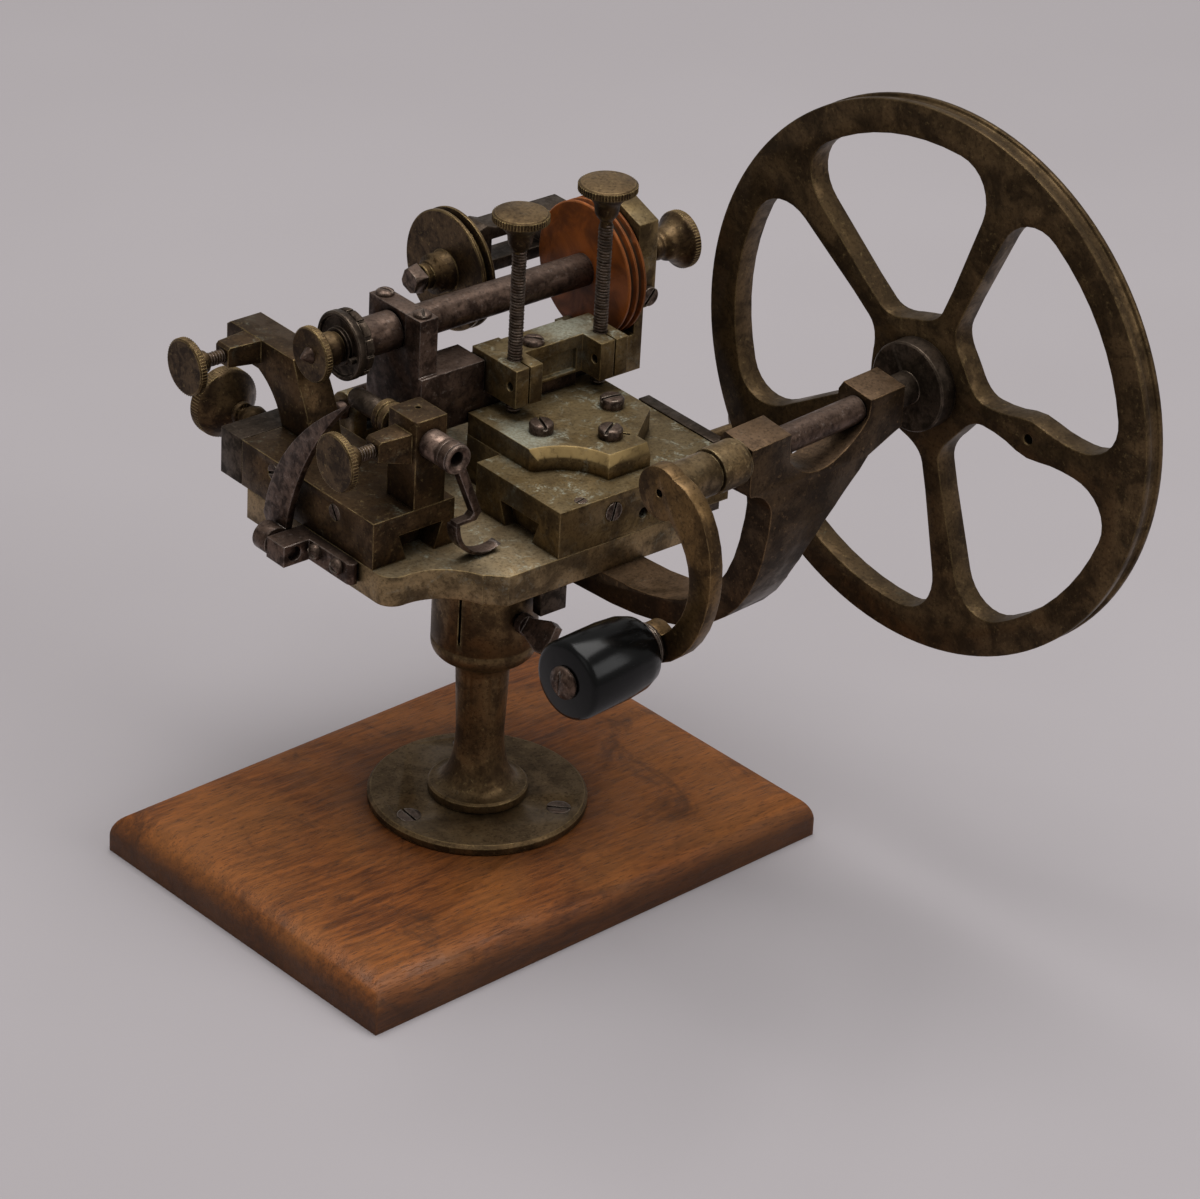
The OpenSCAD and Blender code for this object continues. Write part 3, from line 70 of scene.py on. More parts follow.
def photo_camera():
    """The camera that took the photo, as solved from it."""
    down, heading, roll = (math.radians(a) for a in (CAMERA_DOWN, CAMERA_HEADING, CAMERA_ROLL))
    ahead = Vector((math.cos(down) * math.cos(heading), math.cos(down) * math.sin(heading), -math.sin(down)))
    right = Vector((math.sin(heading), -math.cos(heading), 0))
    below = ahead.cross(right)
    picture_x = math.cos(roll) * right - math.sin(roll) * below
    picture_down = math.sin(roll) * right + math.cos(roll) * below
    lens = bpy.data.cameras.new("photo camera")
    lens.sensor_width = SENSOR_WIDTH
    lens.lens = SENSOR_WIDTH * FOCAL_PIXELS / PHOTO_WIDTH
    lens.clip_start = 0.05
    lens.clip_end = 50
    camera = bpy.data.objects.new("photo camera", lens)
    turn = Matrix((picture_x, -picture_down, -ahead)).transposed()
    camera.matrix_world = Matrix.Translation(CAMERA_PLACE) @ turn.to_4x4()
    bpy.context.collection.objects.link(camera)
    bpy.context.scene.camera = camera


LAMP_AIM = Vector((0, 0, 0.1))


def soft_lamp(name, place, size, watts, colour=(1, 1, 1)):
    """A square area lamp that faces the middle of the part."""
    lamp = bpy.data.lights.new(name, "AREA")
    lamp.shape = "SQUARE"
    lamp.size = size
    lamp.energy = watts
    lamp.color = colour
    ob = bpy.data.objects.new(name, lamp)
    ob.location = place
    ob.rotation_euler = (LAMP_AIM - Vector(place)).to_track_quat("-Z", "Y").to_euler()
    bpy.context.collection.objects.link(ob)


photo_camera()
soft_lamp("softbox", (0.15, 0.1, 1.9), 1.5, 29, (1, 0.985, 0.97))
soft_lamp("left fill", (-1.5, -0.35, 1.0), 1.0, 1.5)
soft_lamp("right fill", (0.7, -1.4, 1.0), 0.9, 6)

world = bpy.data.worlds.new("studio")
bpy.context.scene.world = world
world.use_nodes = True
background = world.node_tree.nodes["Background"]
background.inputs["Color"].default_value = (1.0, 0.98, 0.96, 1)
background.inputs["Strength"].default_value = 0.3
bpy.context.scene.view_settings.view_transform = "Standard"


# Materials

EDGE_SAMPLES = 4
CORNER_SAMPLES = 6


class Finish:
    """A node material under construction. Its patterns read Object coordinates, in metres."""

    def __init__(self, name):
        self.material = bpy.data.materials.new(name)
        self.material.use_nodes = True
        self.tree = self.material.node_tree
        self.tree.nodes.clear()
        self.place = self.add("ShaderNodeTexCoord").outputs["Object"]

    def add(self, kind, **values):
        node = self.tree.nodes.new(kind)
        for key, value in values.items():
            self.put(node.inputs[key.replace("_", " ")], value)
        return node

    def put(self, socket, value):
        """Links a socket, or sets a colour or number on it."""
        if isinstance(value, bpy.types.NodeSocket):
            self.tree.links.new(value, socket)
        elif isinstance(value, tuple) and len(value) == 3 and socket.type == "RGBA":
            socket.default_value = (*value, 1)
        else:
            socket.default_value = value

    def stretched(self, factors, turn=0.0):
        """Object coordinates scaled along each axis and turned about Z."""
        node = self.add("ShaderNodeMapping", Vector=self.place)
        node.inputs["Scale"].default_value = factors
        node.inputs["Rotation"].default_value = (0, 0, turn)
        return node.outputs[0]

    def noise(self, scale, detail=4.0, roughness=0.6, vector=None, warp=0.0):
        node = self.add("ShaderNodeTexNoise", Vector=vector or self.place, Scale=scale, Detail=detail,
                        Roughness=roughness, Distortion=warp)
        return node.outputs["Fac"]

    def ramp(self, value, low, high, start=0.0, end=1.0):
        """Smooth step from start at low to end at high."""
        node = self.add("ShaderNodeMapRange", Value=value)
        node.interpolation_type = "SMOOTHSTEP"
        for key, number in (("From Min", low), ("From Max", high), ("To Min", start), ("To Max", end)):
            node.inputs[key].default_value = number
        return node.outputs[0]

    def math(self, kind, a, b=0.0):
        node = self.add("ShaderNodeMath")
        node.operation = kind
        self.put(node.inputs[0], a)
        self.put(node.inputs[1], b)
        return node.outputs[0]

    def times(self, a, b):
        return self.math("MULTIPLY", a, b)

    def blend(self, share, a, b):
        node = self.add("ShaderNodeMix")
        node.data_type = "RGBA"
        for socket, value in (("Factor_Float", share), ("A_Color", a), ("B_Color", b)):
            self.put(next(s for s in node.inputs if s.identifier == socket), value)
        return next(s for s in node.outputs if s.identifier == "Result_Color")

    def edges(self, radius):
        """The normal rounded over the edges, and a mask that is 1 on a sharp edge."""
        rounded = self.add("ShaderNodeBevel", Radius=radius)
        rounded.samples = EDGE_SAMPLES
        flat = self.add("ShaderNodeNewGeometry").outputs["Normal"]
        likeness = self.add("ShaderNodeVectorMath")
        likeness.operation = "DOT_PRODUCT"
        self.put(likeness.inputs[0], rounded.outputs[0])
        self.put(likeness.inputs[1], flat)
        return rounded.outputs[0], self.ramp(likeness.outputs["Value"], 0.995, 0.86)

    def corners(self, reach):
        """Mask that is 1 deep in a corner, from ambient occlusion; it places painted shade."""
        shade = self.add("ShaderNodeAmbientOcclusion", Distance=reach)
        shade.samples = CORNER_SAMPLES
        return self.ramp(shade.outputs["AO"], 0.75, 0.35)

    def bump(self, height, normal, strength, depth):
        """Normal tilted by a height, on top of a rounded normal where there is one."""
        node = self.add("ShaderNodeBump", Height=height, Strength=strength, Distance=depth)
        if normal:
            self.put(node.inputs["Normal"], normal)
        return node.outputs[0]

    def done(self, colour, roughness, normal, specular, metallic=0.0):
        """Closes the tree with its shader and gives the material."""
        shader = self.add("ShaderNodeBsdfPrincipled", Base_Color=colour, Roughness=roughness, Normal=normal)
        self.put(shader.inputs["Metallic"], metallic)
        shader.inputs["Specular IOR Level"].default_value = specular
        end = self.add("ShaderNodeOutputMaterial")
        self.tree.links.new(shader.outputs[0], end.inputs["Surface"])
        return self.material


DEPOSIT = (0.24, 0.25, 0.19)
POLISHED_BRASS = (0.40, 0.28, 0.12)


def bloom(f, centre, reach, ragged, grain, upward):
    """Share of a pale deposit that lies about a place, thickest on the faces that point up."""
    apart = f.add("ShaderNodeVectorMath", Vector=f.place)
    apart.operation = "DISTANCE"
    apart.inputs[1].default_value = centre
    near = f.ramp(f.math("ADD", apart.outputs["Value"], ragged), reach + 0.003, reach - 0.004)
    near = f.times(near, f.math("ADD", f.times(grain, 0.35), 0.45))
    return f.times(near, f.math("ADD", f.times(upward, 0.75), 0.25))


def polish(f, facing, band):
    """Share of bare metal on the faces that slope, between two heights."""
    height = f.add("ShaderNodeSeparateXYZ", Vector=f.place).outputs["Z"]
    low, high = band
    fade = 0.0002
    sloping = f.times(f.ramp(facing.outputs["Z"], 0.3, 0.42), f.ramp(facing.outputs["Z"], 0.85, 0.72))
    within = f.times(f.ramp(height, low, low + fade), f.ramp(height, high, high - fade))
    return f.times(f.times(sloping, within), f.ramp(f.noise(320, 6, 0.7), 0.3, 0.5, 0.3, 0.95))


def aged_metal(name, body, tarnish, worn, dust_and_top_light, dust_and_top_light_share=0.6, deposit=DEPOSIT, deposit_share=0.2,
               rough=0.42, patch=110, pits=0.35, polished_band=None, blooms=()):
    """Metal with dark tarnish in patches, bright worn edges, painted shade in the corners, pale green-grey deposits
    in places, and dust with painted top light that makes the faces that point up paler."""
    metallic, dusty_metallic = 0.8, 0.35
    wear = 0.85
    f = Finish(name)
    normal, edge = f.edges(0.0005)
    corner = f.corners(0.004)

    # body colour, with patches of tarnish, dust and painted top light on the faces that point up, dark specks, bright
    # flecks and painted shade in the corners
    patches = f.ramp(f.noise(patch, 6, 0.62, warp=0.4), 0.38, 0.62)
    speckle = f.ramp(f.noise(1100, 3, 0.7), 0.45, 0.72)
    colour = f.blend(patches, tarnish, body)
    facing = f.add("ShaderNodeSeparateXYZ", Vector=f.add("ShaderNodeTexCoord").outputs["Normal"])
    upward = f.ramp(facing.outputs["Z"], 0.45, 0.97)
    # dust and painted top light: the faces that point up get a paler colour, for dust and for light falling from
    # above
    top_dust_and_light_mask = f.times(upward, f.ramp(f.noise(75, 6, 0.66, warp=0.6), 0.3, 0.62, 0.35, 1.0))
    top_share = f.times(top_dust_and_light_mask, dust_and_top_light_share)
    colour = f.blend(top_share, colour, dust_and_top_light)
    colour = f.blend(f.times(speckle, 0.6), colour, tuple(0.35 * c for c in tarnish))
    flecks = f.ramp(f.noise(620, 6, 0.78), 0.56, 0.68)
    colour = f.blend(f.times(flecks, 0.3), colour, worn)
    # painted shade: the colour darkens deep in the corners
    colour = f.blend(f.times(corner, 0.85), colour, tuple(0.25 * c for c in tarnish))

    # deposits: a thin film everywhere, and blooms about named places
    thinner = 0.16 * deposit_share
    spread = f.ramp(f.noise(170, 7, 0.7, warp=0.8), 0.60 - thinner, 0.78 - thinner)
    grain = f.ramp(f.noise(1500, 2, 0.6), 0.38, 0.6)
    film = f.times(f.times(spread, grain), min(1.0, 0.25 + deposit_share))
    film = f.times(film, f.math("ADD", f.times(upward, 0.7), 0.3))
    colour = f.blend(film, colour, deposit)
    ragged = f.times(f.noise(210, 7, 0.72, warp=0.6), 0.014)
    for *centre, reach in blooms:
        colour = f.blend(bloom(f, centre, reach, ragged, grain, upward), colour, deposit)

    # bare metal: the polished bevel, and the worn edges
    if polished_band:
        colour = f.blend(polish(f, facing, polished_band), colour, POLISHED_BRASS)
    rubbed = f.times(f.times(edge, f.ramp(f.noise(260, 4), 0.3, 0.6)), wear)
    colour = f.blend(rubbed, colour, worn)
    roughness = f.math("ADD", f.ramp(patches, 0.0, 1.0, rough + 0.16, rough), f.times(film, 0.3))
    roughness = f.math("SUBTRACT", roughness, f.times(rubbed, 0.12))
    grainy = f.math("ADD", f.noise(900, 5, 0.65), f.times(f.noise(240, 3), 0.8))
    return f.done(colour, roughness, f.bump(grainy, normal, pits, 0.00012), 0.12,
                  f.ramp(top_share, 0.0, 1.0, metallic, dusty_metallic))


def waxed_wood(name):
    """Reddish-brown wood, paler in clouds and dark about the flange and in stains, with painted shade low on the
    edges.
    """
    grain_turn = math.radians(-2.4)
    f = Finish(name)
    fibres = f.noise(60, 6, 0.62, f.stretched((1.0, 9.0, 9.0), grain_turn), 0.6)
    pores = f.ramp(f.noise(260, 3, 0.5, f.stretched((1.2, 10.0, 10.0), grain_turn)), 0.54, 0.68)
    cloud = f.ramp(f.noise(26, 5, 0.6, warp=0.5), 0.34, 0.68)
    colour = f.blend(f.ramp(fibres, 0.32, 0.7), (0.085, 0.024, 0.005), (0.275, 0.083, 0.016))
    colour = f.blend(f.times(cloud, 0.5), colour, (0.36, 0.135, 0.034))
    colour = f.blend(f.times(pores, 0.55), colour, (0.035, 0.015, 0.008))
    apart = f.add("ShaderNodeSeparateXYZ", Vector=f.place)
    from_column = f.math("SQRT", f.math("ADD", f.math("POWER", apart.outputs["X"], 2.0),
                                        f.math("POWER", apart.outputs["Y"], 2.0)))
    wobble = f.math("ADD", from_column, f.times(f.noise(45, 4), 0.022))
    ring = f.ramp(wobble, 0.058, 0.037)
    colour = f.blend(f.times(ring, 0.42), colour, (0.028, 0.012, 0.007))
    stain = f.ramp(f.noise(34, 6, 0.7, warp=1.0), 0.56, 0.7)
    colour = f.blend(f.times(stain, 0.55), colour, (0.035, 0.016, 0.009))
    # painted shade: the wood darkens towards the bottom of the stand
    low = f.ramp(apart.outputs["Z"], 0.0125, 0.004)
    colour = f.blend(f.times(low, 0.78), colour, (0.045, 0.019, 0.009))
    normal, edge = f.edges(0.0012)
    colour = f.blend(f.times(edge, 0.35), colour, (0.30, 0.12, 0.045))
    roughness = f.ramp(f.noise(120, 4), 0.3, 0.7, 0.42, 0.62)
    height = f.math("SUBTRACT", fibres, f.times(pores, 0.7))
    return f.done(colour, roughness, f.bump(height, normal, 0.35, 0.0003), 0.25)


def turned_fibre(name):
    """Red-brown vulcanised fibre with fine turning rings about the spindle and a grey middle groove."""
    rings_per_metre = 11000.0
    axis_y, axis_z = (place * MM for place in SPINDLE)
    f = Finish(name)
    apart = f.add("ShaderNodeSeparateXYZ", Vector=f.place)
    across = f.math("POWER", f.math("SUBTRACT", apart.outputs["Y"], axis_y), 2.0)
    up = f.math("POWER", f.math("SUBTRACT", apart.outputs["Z"], axis_z), 2.0)
    radius = f.math("SQRT", f.math("ADD", across, up))
    rings = f.math("SINE", f.times(radius, rings_per_metre))
    cloud = f.ramp(f.noise(95, 5, 0.6, warp=0.5), 0.34, 0.66)
    colour = f.blend(cloud, (0.12, 0.034, 0.008), (0.33, 0.088, 0.015))
    groove = f.ramp(radius, 0.01835, 0.01775)
    rim = f.times(groove, f.ramp(radius, 0.0168, 0.0173))
    along = apart.outputs["X"]
    between = f.times(f.ramp(along, 0.0576, 0.0579), f.ramp(along, 0.063, 0.0627))
    rim = f.times(rim, between)
    colour = f.blend(f.times(rim, 0.75), colour, (0.09, 0.10, 0.065))
    normal, edge = f.edges(0.0004)
    colour = f.blend(f.times(edge, 0.75), colour, (0.66, 0.25, 0.08))
    # painted shade: the fibre darkens deep in the corners
    colour = f.blend(f.times(f.corners(0.006), 0.75), colour, (0.04, 0.012, 0.006))
    height = f.math("ADD", f.times(rings, 0.25), f.noise(700, 3))
    return f.done(colour, f.ramp(cloud, 0, 1, 0.5, 0.38), f.bump(height, normal, 0.2, 0.0001), 0.2)


def polished_ebony(name):
    """Near-black wood, polished, with faint scuffs along the handle."""
    f = Finish(name)
    normal, edge = f.edges(0.0006)
    scuffs = f.ramp(f.noise(420, 5, 0.7, f.stretched((1, 6, 6))), 0.55, 0.75)
    colour = f.blend(f.times(scuffs, 0.35), (0.002, 0.002, 0.002), (0.010, 0.009, 0.009))
    colour = f.blend(f.times(edge, 0.3), colour, (0.05, 0.045, 0.04))
    roughness = f.ramp(scuffs, 0, 1, 0.2, 0.36)
    return f.done(colour, roughness, f.bump(f.noise(500, 3), normal, 0.12, 0.0001), 0.22)


def paper_floor(name):
    """Plain pale paper."""
    f = Finish(name)
    cloud = f.ramp(f.noise(3, 3), 0.3, 0.7)
    colour = f.blend(cloud, (0.425, 0.398, 0.415), (0.445, 0.418, 0.436))
    return f.done(colour, f.ramp(cloud, 0, 1, 0.88, 0.92), f.bump(f.noise(1200, 2), None, 0.05, 0.0001), 0.15)


BRASS_WORN = (0.46, 0.33, 0.15)
STEEL_WORN = (0.42, 0.35, 0.31)
PALE_DEPOSIT = (0.40, 0.41, 0.33)
# Middle (x, y, z) and reach of each bloom of deposit: crosspiece, cam plate's back and front, main plate
BLOOMS = ((0.040, 0.021, 0.1312, 0.016), (0.012, 0.001, 0.1208, 0.015), (0.050, 0.030, 0.115, 0.012),
          (-0.004, -0.010, 0.1085, 0.012), (0.008, 0.030, 0.1086, 0.014))
CAM_BEVEL = (0.1168, 0.1206)
FINISHES = {
    "stand_wood": waxed_wood("waxed wood"),
    "column_brass": aged_metal(
        "column brass", body=(0.165, 0.102, 0.046), tarnish=(0.062, 0.037, 0.018), worn=BRASS_WORN,
        dust_and_top_light=(0.20, 0.135, 0.07), deposit_share=0.1, rough=0.38),
    "plate_brass": aged_metal(
        "plate brass", body=(0.215, 0.145, 0.062), tarnish=(0.085, 0.055, 0.026), worn=BRASS_WORN,
        dust_and_top_light=(0.20, 0.15, 0.078), dust_and_top_light_share=0.75, deposit=PALE_DEPOSIT, deposit_share=0.6, rough=0.4,
        polished_band=CAM_BEVEL, blooms=BLOOMS),
    "carriage_brass": aged_metal(
        "carriage brass", body=(0.096, 0.056, 0.026), tarnish=(0.034, 0.020, 0.011), worn=BRASS_WORN,
        dust_and_top_light=(0.065, 0.041, 0.023), dust_and_top_light_share=0.5, deposit=(0.24, 0.24, 0.18), deposit_share=0.35, rough=0.4),
    # Knob brass: its bright worn edges are wear and also painted highlights on the knurls
    "knob_brass": aged_metal(
        "knob brass", body=(0.095, 0.058, 0.027), tarnish=(0.034, 0.020, 0.011), worn=(0.50, 0.36, 0.16),
        dust_and_top_light=(0.19, 0.125, 0.062), dust_and_top_light_share=0.8, deposit_share=0.05, rough=0.36, patch=220),
    "bracket_bronze": aged_metal(
        "bracket bronze", body=(0.072, 0.045, 0.024), tarnish=(0.032, 0.020, 0.012), worn=(0.36, 0.22, 0.11),
        dust_and_top_light=(0.16, 0.10, 0.058), dust_and_top_light_share=0.8, deposit_share=0.05, rough=0.34, pits=0.5),
    "wheel_brass": aged_metal(
        "wheel brass", body=(0.120, 0.076, 0.036), tarnish=(0.045, 0.028, 0.014), worn=(0.38, 0.27, 0.12),
        dust_and_top_light=(0.085, 0.056, 0.028), dust_and_top_light_share=0.5, deposit=(0.14, 0.2, 0.16), deposit_share=0.06, rough=0.38),
    "grey_steel": aged_metal(
        "grey steel", body=(0.130, 0.084, 0.062), tarnish=(0.038, 0.023, 0.017), worn=STEEL_WORN,
        dust_and_top_light=(0.165, 0.115, 0.09), deposit=(0.16, 0.10, 0.065), deposit_share=0.3, rough=0.34, patch=260,
        pits=0.55),
    "dark_steel": aged_metal(
        "dark steel", body=(0.080, 0.058, 0.042), tarnish=(0.028, 0.020, 0.014), worn=(0.26, 0.20, 0.15),
        dust_and_top_light=(0.085, 0.062, 0.046), dust_and_top_light_share=0.5, deposit=(0.15, 0.14, 0.11), deposit_share=0.1, rough=0.4,
        patch=260),
    "screw_steel": aged_metal(
        "screw steel", body=(0.15, 0.104, 0.08), tarnish=(0.045, 0.030, 0.022), worn=(0.46, 0.38, 0.31),
        dust_and_top_light=(0.17, 0.12, 0.095), deposit=(0.16, 0.10, 0.06), deposit_share=0.2, rough=0.32, patch=420),
    "fibre": turned_fibre("red fibre"),
    "ebony": polished_ebony("ebony"),
}

# Nodes whose metal is paler than the rest of their slot
PALER = {
    "main_plate": aged_metal(
        "pale plate brass", body=(0.31, 0.215, 0.11), tarnish=(0.115, 0.078, 0.042), worn=BRASS_WORN,
        dust_and_top_light=(0.26, 0.205, 0.125), dust_and_top_light_share=0.75, deposit=PALE_DEPOSIT, deposit_share=0.6, rough=0.4,
        blooms=BLOOMS),
    "crank_arm": aged_metal(
        "crank bronze", body=(0.155, 0.09, 0.035), tarnish=(0.050, 0.029, 0.013), worn=(0.46, 0.30, 0.14),
        dust_and_top_light=(0.24, 0.15, 0.07), deposit_share=0.05, rough=0.34),
    "shaft_collar": aged_metal(
        "collar brass", body=(0.20, 0.13, 0.06), tarnish=(0.07, 0.045, 0.022), worn=(0.55, 0.42, 0.22),
        dust_and_top_light=(0.27, 0.19, 0.10), dust_and_top_light_share=0.7, deposit_share=0.05, rough=0.34, patch=260),
    "front_sleeve": aged_metal(
        "sleeve steel", body=(0.23, 0.155, 0.12), tarnish=(0.065, 0.042, 0.032), worn=(0.50, 0.40, 0.34),
        dust_and_top_light=(0.28, 0.20, 0.16), deposit=(0.2, 0.12, 0.08), deposit_share=0.3, rough=0.34, patch=300, pits=0.5),
}


# Pieces

SHARP_ANGLE = 34
WELD = 1.5e-6


def settle(ob, body, slot, *replaced):
    """Puts a finished piece on its body, in place of the solids that it stands for."""
    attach(ob, body)
    if replaced:
        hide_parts(*replaced)
    return ob


def shaded(mesh, sharp):
    """Smooth shading, but for edges sharper than an angle in degrees."""
    mesh.shade_smooth()
    mesh.set_sharp_from_angle(angle=math.radians(sharp))


def plain_mesh(ob):
    """Turns what an object's modifiers make into a plain mesh of its own."""
    made = bpy.data.meshes.new_from_object(ob.evaluated_get(bpy.context.evaluated_depsgraph_get()))
    ob.modifiers.clear()
    ob.data = made
    return ob


def dressed(node, bevel):
    """A joined and smoothly shaded copy of a solid, its sharp edges broken by a small round."""
    joined = bmesh.new()
    joined.from_mesh(NODES[node].data)
    bmesh.ops.remove_doubles(joined, verts=joined.verts, dist=WELD)
    bmesh.ops.dissolve_limit(joined, angle_limit=math.radians(0.4), verts=joined.verts, edges=joined.edges)
    mesh = bpy.data.meshes.new(node + "_dressed")
    joined.to_mesh(mesh)
    joined.free()
    ob = bpy.data.objects.new(node + "_dressed", mesh)
    bpy.context.collection.objects.link(ob)
    if bevel:
        round_over = ob.modifiers.new("broken edges", "BEVEL")
        round_over.width = bevel * MM
        round_over.segments = 2
        round_over.limit_method = "ANGLE"
        round_over.angle_limit = math.radians(40)
        round_over.use_clamp_overlap = True
        plain_mesh(ob)
    shaded(ob.data, SHARP_ANGLE)
    ob.data.materials.clear()
    ob.data.materials.append(PALER.get(node, FINISHES[SLOT_OF[node]]))
    return settle(ob, BODY_OF[node], SLOT_OF[node], node)


def axis_matrix(origin, axis):
    """Takes +Z of a piece's own space to the axis, with its place at the origin, given in millimetres."""
    turn = Vector((0, 0, 1)).rotation_difference(Vector(axis)).to_matrix().to_4x4()
    return Matrix.Translation(Vector(origin) * MM) @ turn


def turned(name, profile, origin, axis, body, slot, *replaced):
    """A turned piece from (radius, place along the axis) pairs in millimetres."""
    segments = 96
    lathe = bmesh.new()
    rings = []
    for radius, along in profile:
        if radius == 0:
            rings.append([lathe.verts.new((0, 0, along * MM))])
        else:
            rings.append([lathe.verts.new((radius * MM * math.cos(t), radius * MM * math.sin(t), along * MM))
                          for t in (2 * math.pi * i / segments for i in range(segments))])
    for low, high in zip(rings, rings[1:]):
        for i in range(segments):
            j = (i + 1) % segments
            corners = []
            for vert in (low[i % len(low)], low[j % len(low)], high[j % len(high)], high[i % len(high)]):
                if vert not in corners:
                    corners.append(vert)
            if len(corners) > 2:
                lathe.faces.new(corners)
    bmesh.ops.recalc_face_normals(lathe, faces=lathe.faces)
    mesh = bpy.data.meshes.new(name)
    lathe.transform(axis_matrix(origin, axis))
    lathe.to_mesh(mesh)
    lathe.free()
    ob = bpy.data.objects.new(name, mesh)
    bpy.context.collection.objects.link(ob)
    shaded(mesh, SHARP_ANGLE)
    mesh.materials.append(FINISHES[slot])
    return settle(ob, body, slot, *replaced)


# Repeated detail, made with Geometry Nodes

def start_tree(name, inputs):
    """A node group with named inputs, their identifiers, and its two end nodes."""
    tree = bpy.data.node_groups.new(name, "GeometryNodeTree")
    tree.interface.new_socket("Geometry", in_out="INPUT", socket_type="NodeSocketGeometry")
    ids = {}
    for label, kind, value in inputs:
        socket = tree.interface.new_socket(label, in_out="INPUT", socket_type=kind)
        socket.default_value = value
        ids[label] = socket.identifier
    tree.interface.new_socket("Geometry", in_out="OUTPUT", socket_type="NodeSocketGeometry")
    return tree, ids, tree.nodes.new("NodeGroupInput"), tree.nodes.new("NodeGroupOutput")


def end_tree(tree, shape, out):
    """Makes the instances real and gives them their finish."""
    realize = tree.nodes.new("GeometryNodeRealizeInstances")
    finish = tree.nodes.new("GeometryNodeSetMaterial")
    finish.name = "finish"
    tree.links.new(shape, realize.inputs[0])
    tree.links.new(realize.outputs[0], finish.inputs["Geometry"])
    tree.links.new(finish.outputs[0], out.inputs[0])


def knurl_tree():
    """Four-sided teeth on a circle, each turned outwards."""
    tree, ids, given, out = start_tree("knurled rim", [
        ("Rim radius", "NodeSocketFloat", 0.008), ("Rim width", "NodeSocketFloat", 0.002),
        ("Tooth size", "NodeSocketFloat", 0.0004), ("Teeth", "NodeSocketInt", 60)])
    ring = tree.nodes.new("GeometryNodeMeshCircle")
    tooth = tree.nodes.new("GeometryNodeMeshCylinder")
    tooth.inputs["Vertices"].default_value = 4
    tree.links.new(given.outputs["Teeth"], ring.inputs["Vertices"])
    tree.links.new(given.outputs["Rim radius"], ring.inputs["Radius"])
    tree.links.new(given.outputs["Tooth size"], tooth.inputs["Radius"])
    tree.links.new(given.outputs["Rim width"], tooth.inputs["Depth"])
    place = tree.nodes.new("GeometryNodeInputPosition")
    outward = tree.nodes.new("FunctionNodeAlignRotationToVector")
    outward.axis = "X"
    tree.links.new(place.outputs[0], outward.inputs["Vector"])
    teeth = tree.nodes.new("GeometryNodeInstanceOnPoints")
    tree.links.new(ring.outputs["Mesh"], teeth.inputs["Points"])
    tree.links.new(tooth.outputs["Mesh"], teeth.inputs["Instance"])
    tree.links.new(outward.outputs[0], teeth.inputs["Rotation"])
    end_tree(tree, teeth.outputs[0], out)
    return tree, ids


def thread_tree():
    """A four-sided ridge wound along a helix."""
    tree, ids, given, out = start_tree("screw thread", [
        ("Thread radius", "NodeSocketFloat", 0.0018), ("Length", "NodeSocketFloat", 0.04),
        ("Pitch", "NodeSocketFloat", 0.0007), ("Crest", "NodeSocketFloat", 0.0003)])
    turns = tree.nodes.new("ShaderNodeMath")
    turns.operation = "DIVIDE"
    tree.links.new(given.outputs["Length"], turns.inputs[0])
    tree.links.new(given.outputs["Pitch"], turns.inputs[1])
    helix = tree.nodes.new("GeometryNodeCurveSpiral")
    helix.inputs["Resolution"].default_value = 20
    tree.links.new(turns.outputs[0], helix.inputs["Rotations"])
    tree.links.new(given.outputs["Thread radius"], helix.inputs["Start Radius"])
    tree.links.new(given.outputs["Thread radius"], helix.inputs["End Radius"])
    tree.links.new(given.outputs["Length"], helix.inputs["Height"])
    ridge = tree.nodes.new("GeometryNodeCurvePrimitiveCircle")
    ridge.inputs["Resolution"].default_value = 4
    tree.links.new(given.outputs["Crest"], ridge.inputs["Radius"])
    wound = tree.nodes.new("GeometryNodeCurveToMesh")
    wound.inputs["Fill Caps"].default_value = True
    tree.links.new(helix.outputs[0], wound.inputs["Curve"])
    tree.links.new(ridge.outputs[0], wound.inputs["Profile Curve"])
    end_tree(tree, wound.outputs[0], out)
    return tree, ids


KNURL = knurl_tree()
THREAD = thread_tree()


def grown(name, recipe, sizes, origin, axis, body, slot):
    """A plain mesh from one of the trees, set along an axis."""
    tree, ids = recipe
    tree.nodes["finish"].inputs["Material"].default_value = FINISHES[slot]
    ob = bpy.data.objects.new(name, bpy.data.meshes.new(name + "_seed"))
    bpy.context.collection.objects.link(ob)
    growth = ob.modifiers.new("growth", "NODES")
    growth.node_group = tree
    for label, value in sizes.items():
        growth[ids[label]] = value
    plain_mesh(ob)
    ob.data.transform(axis_matrix(origin, axis))
    ob.data.update()
    return settle(ob, body, slot)


def knurled_rim(name, origin, axis, radius, width, body, pitch=0.85):
    """Knurl about a knob's rim, its teeth standing proud by a small lift."""
    size, lift = 0.42, 0.14
    teeth = int(2 * math.pi * radius / pitch)
    sizes = {"Rim radius": (radius - size + lift) * MM, "Rim width": width * MM,
             "Tooth size": size * MM, "Teeth": teeth}
    return grown(name, KNURL, sizes, origin, axis, body, "knob_brass")


def thread(name, origin, axis, radius, length, body, slot):
    """Screw thread from an origin along an axis."""
    pitch, crest = 0.85, 0.36
    sizes = {"Thread radius": (radius - crest) * MM, "Length": length * MM,
             "Pitch": pitch * MM, "Crest": crest * MM}
    return grown(name, THREAD, sizes, origin, axis, body, slot)


X_AXIS, Y_AXIS, Z_AXIS = (1, 0, 0), (0, 1, 0), (0, 0, 1)

# Stop screws: threaded shank, waisted hub and knurled mushroom head
STOP_Y = 13.7
STOP_FOOT = 120.25
STOP_TOP = 178.5
STOP_STEP = 1.1


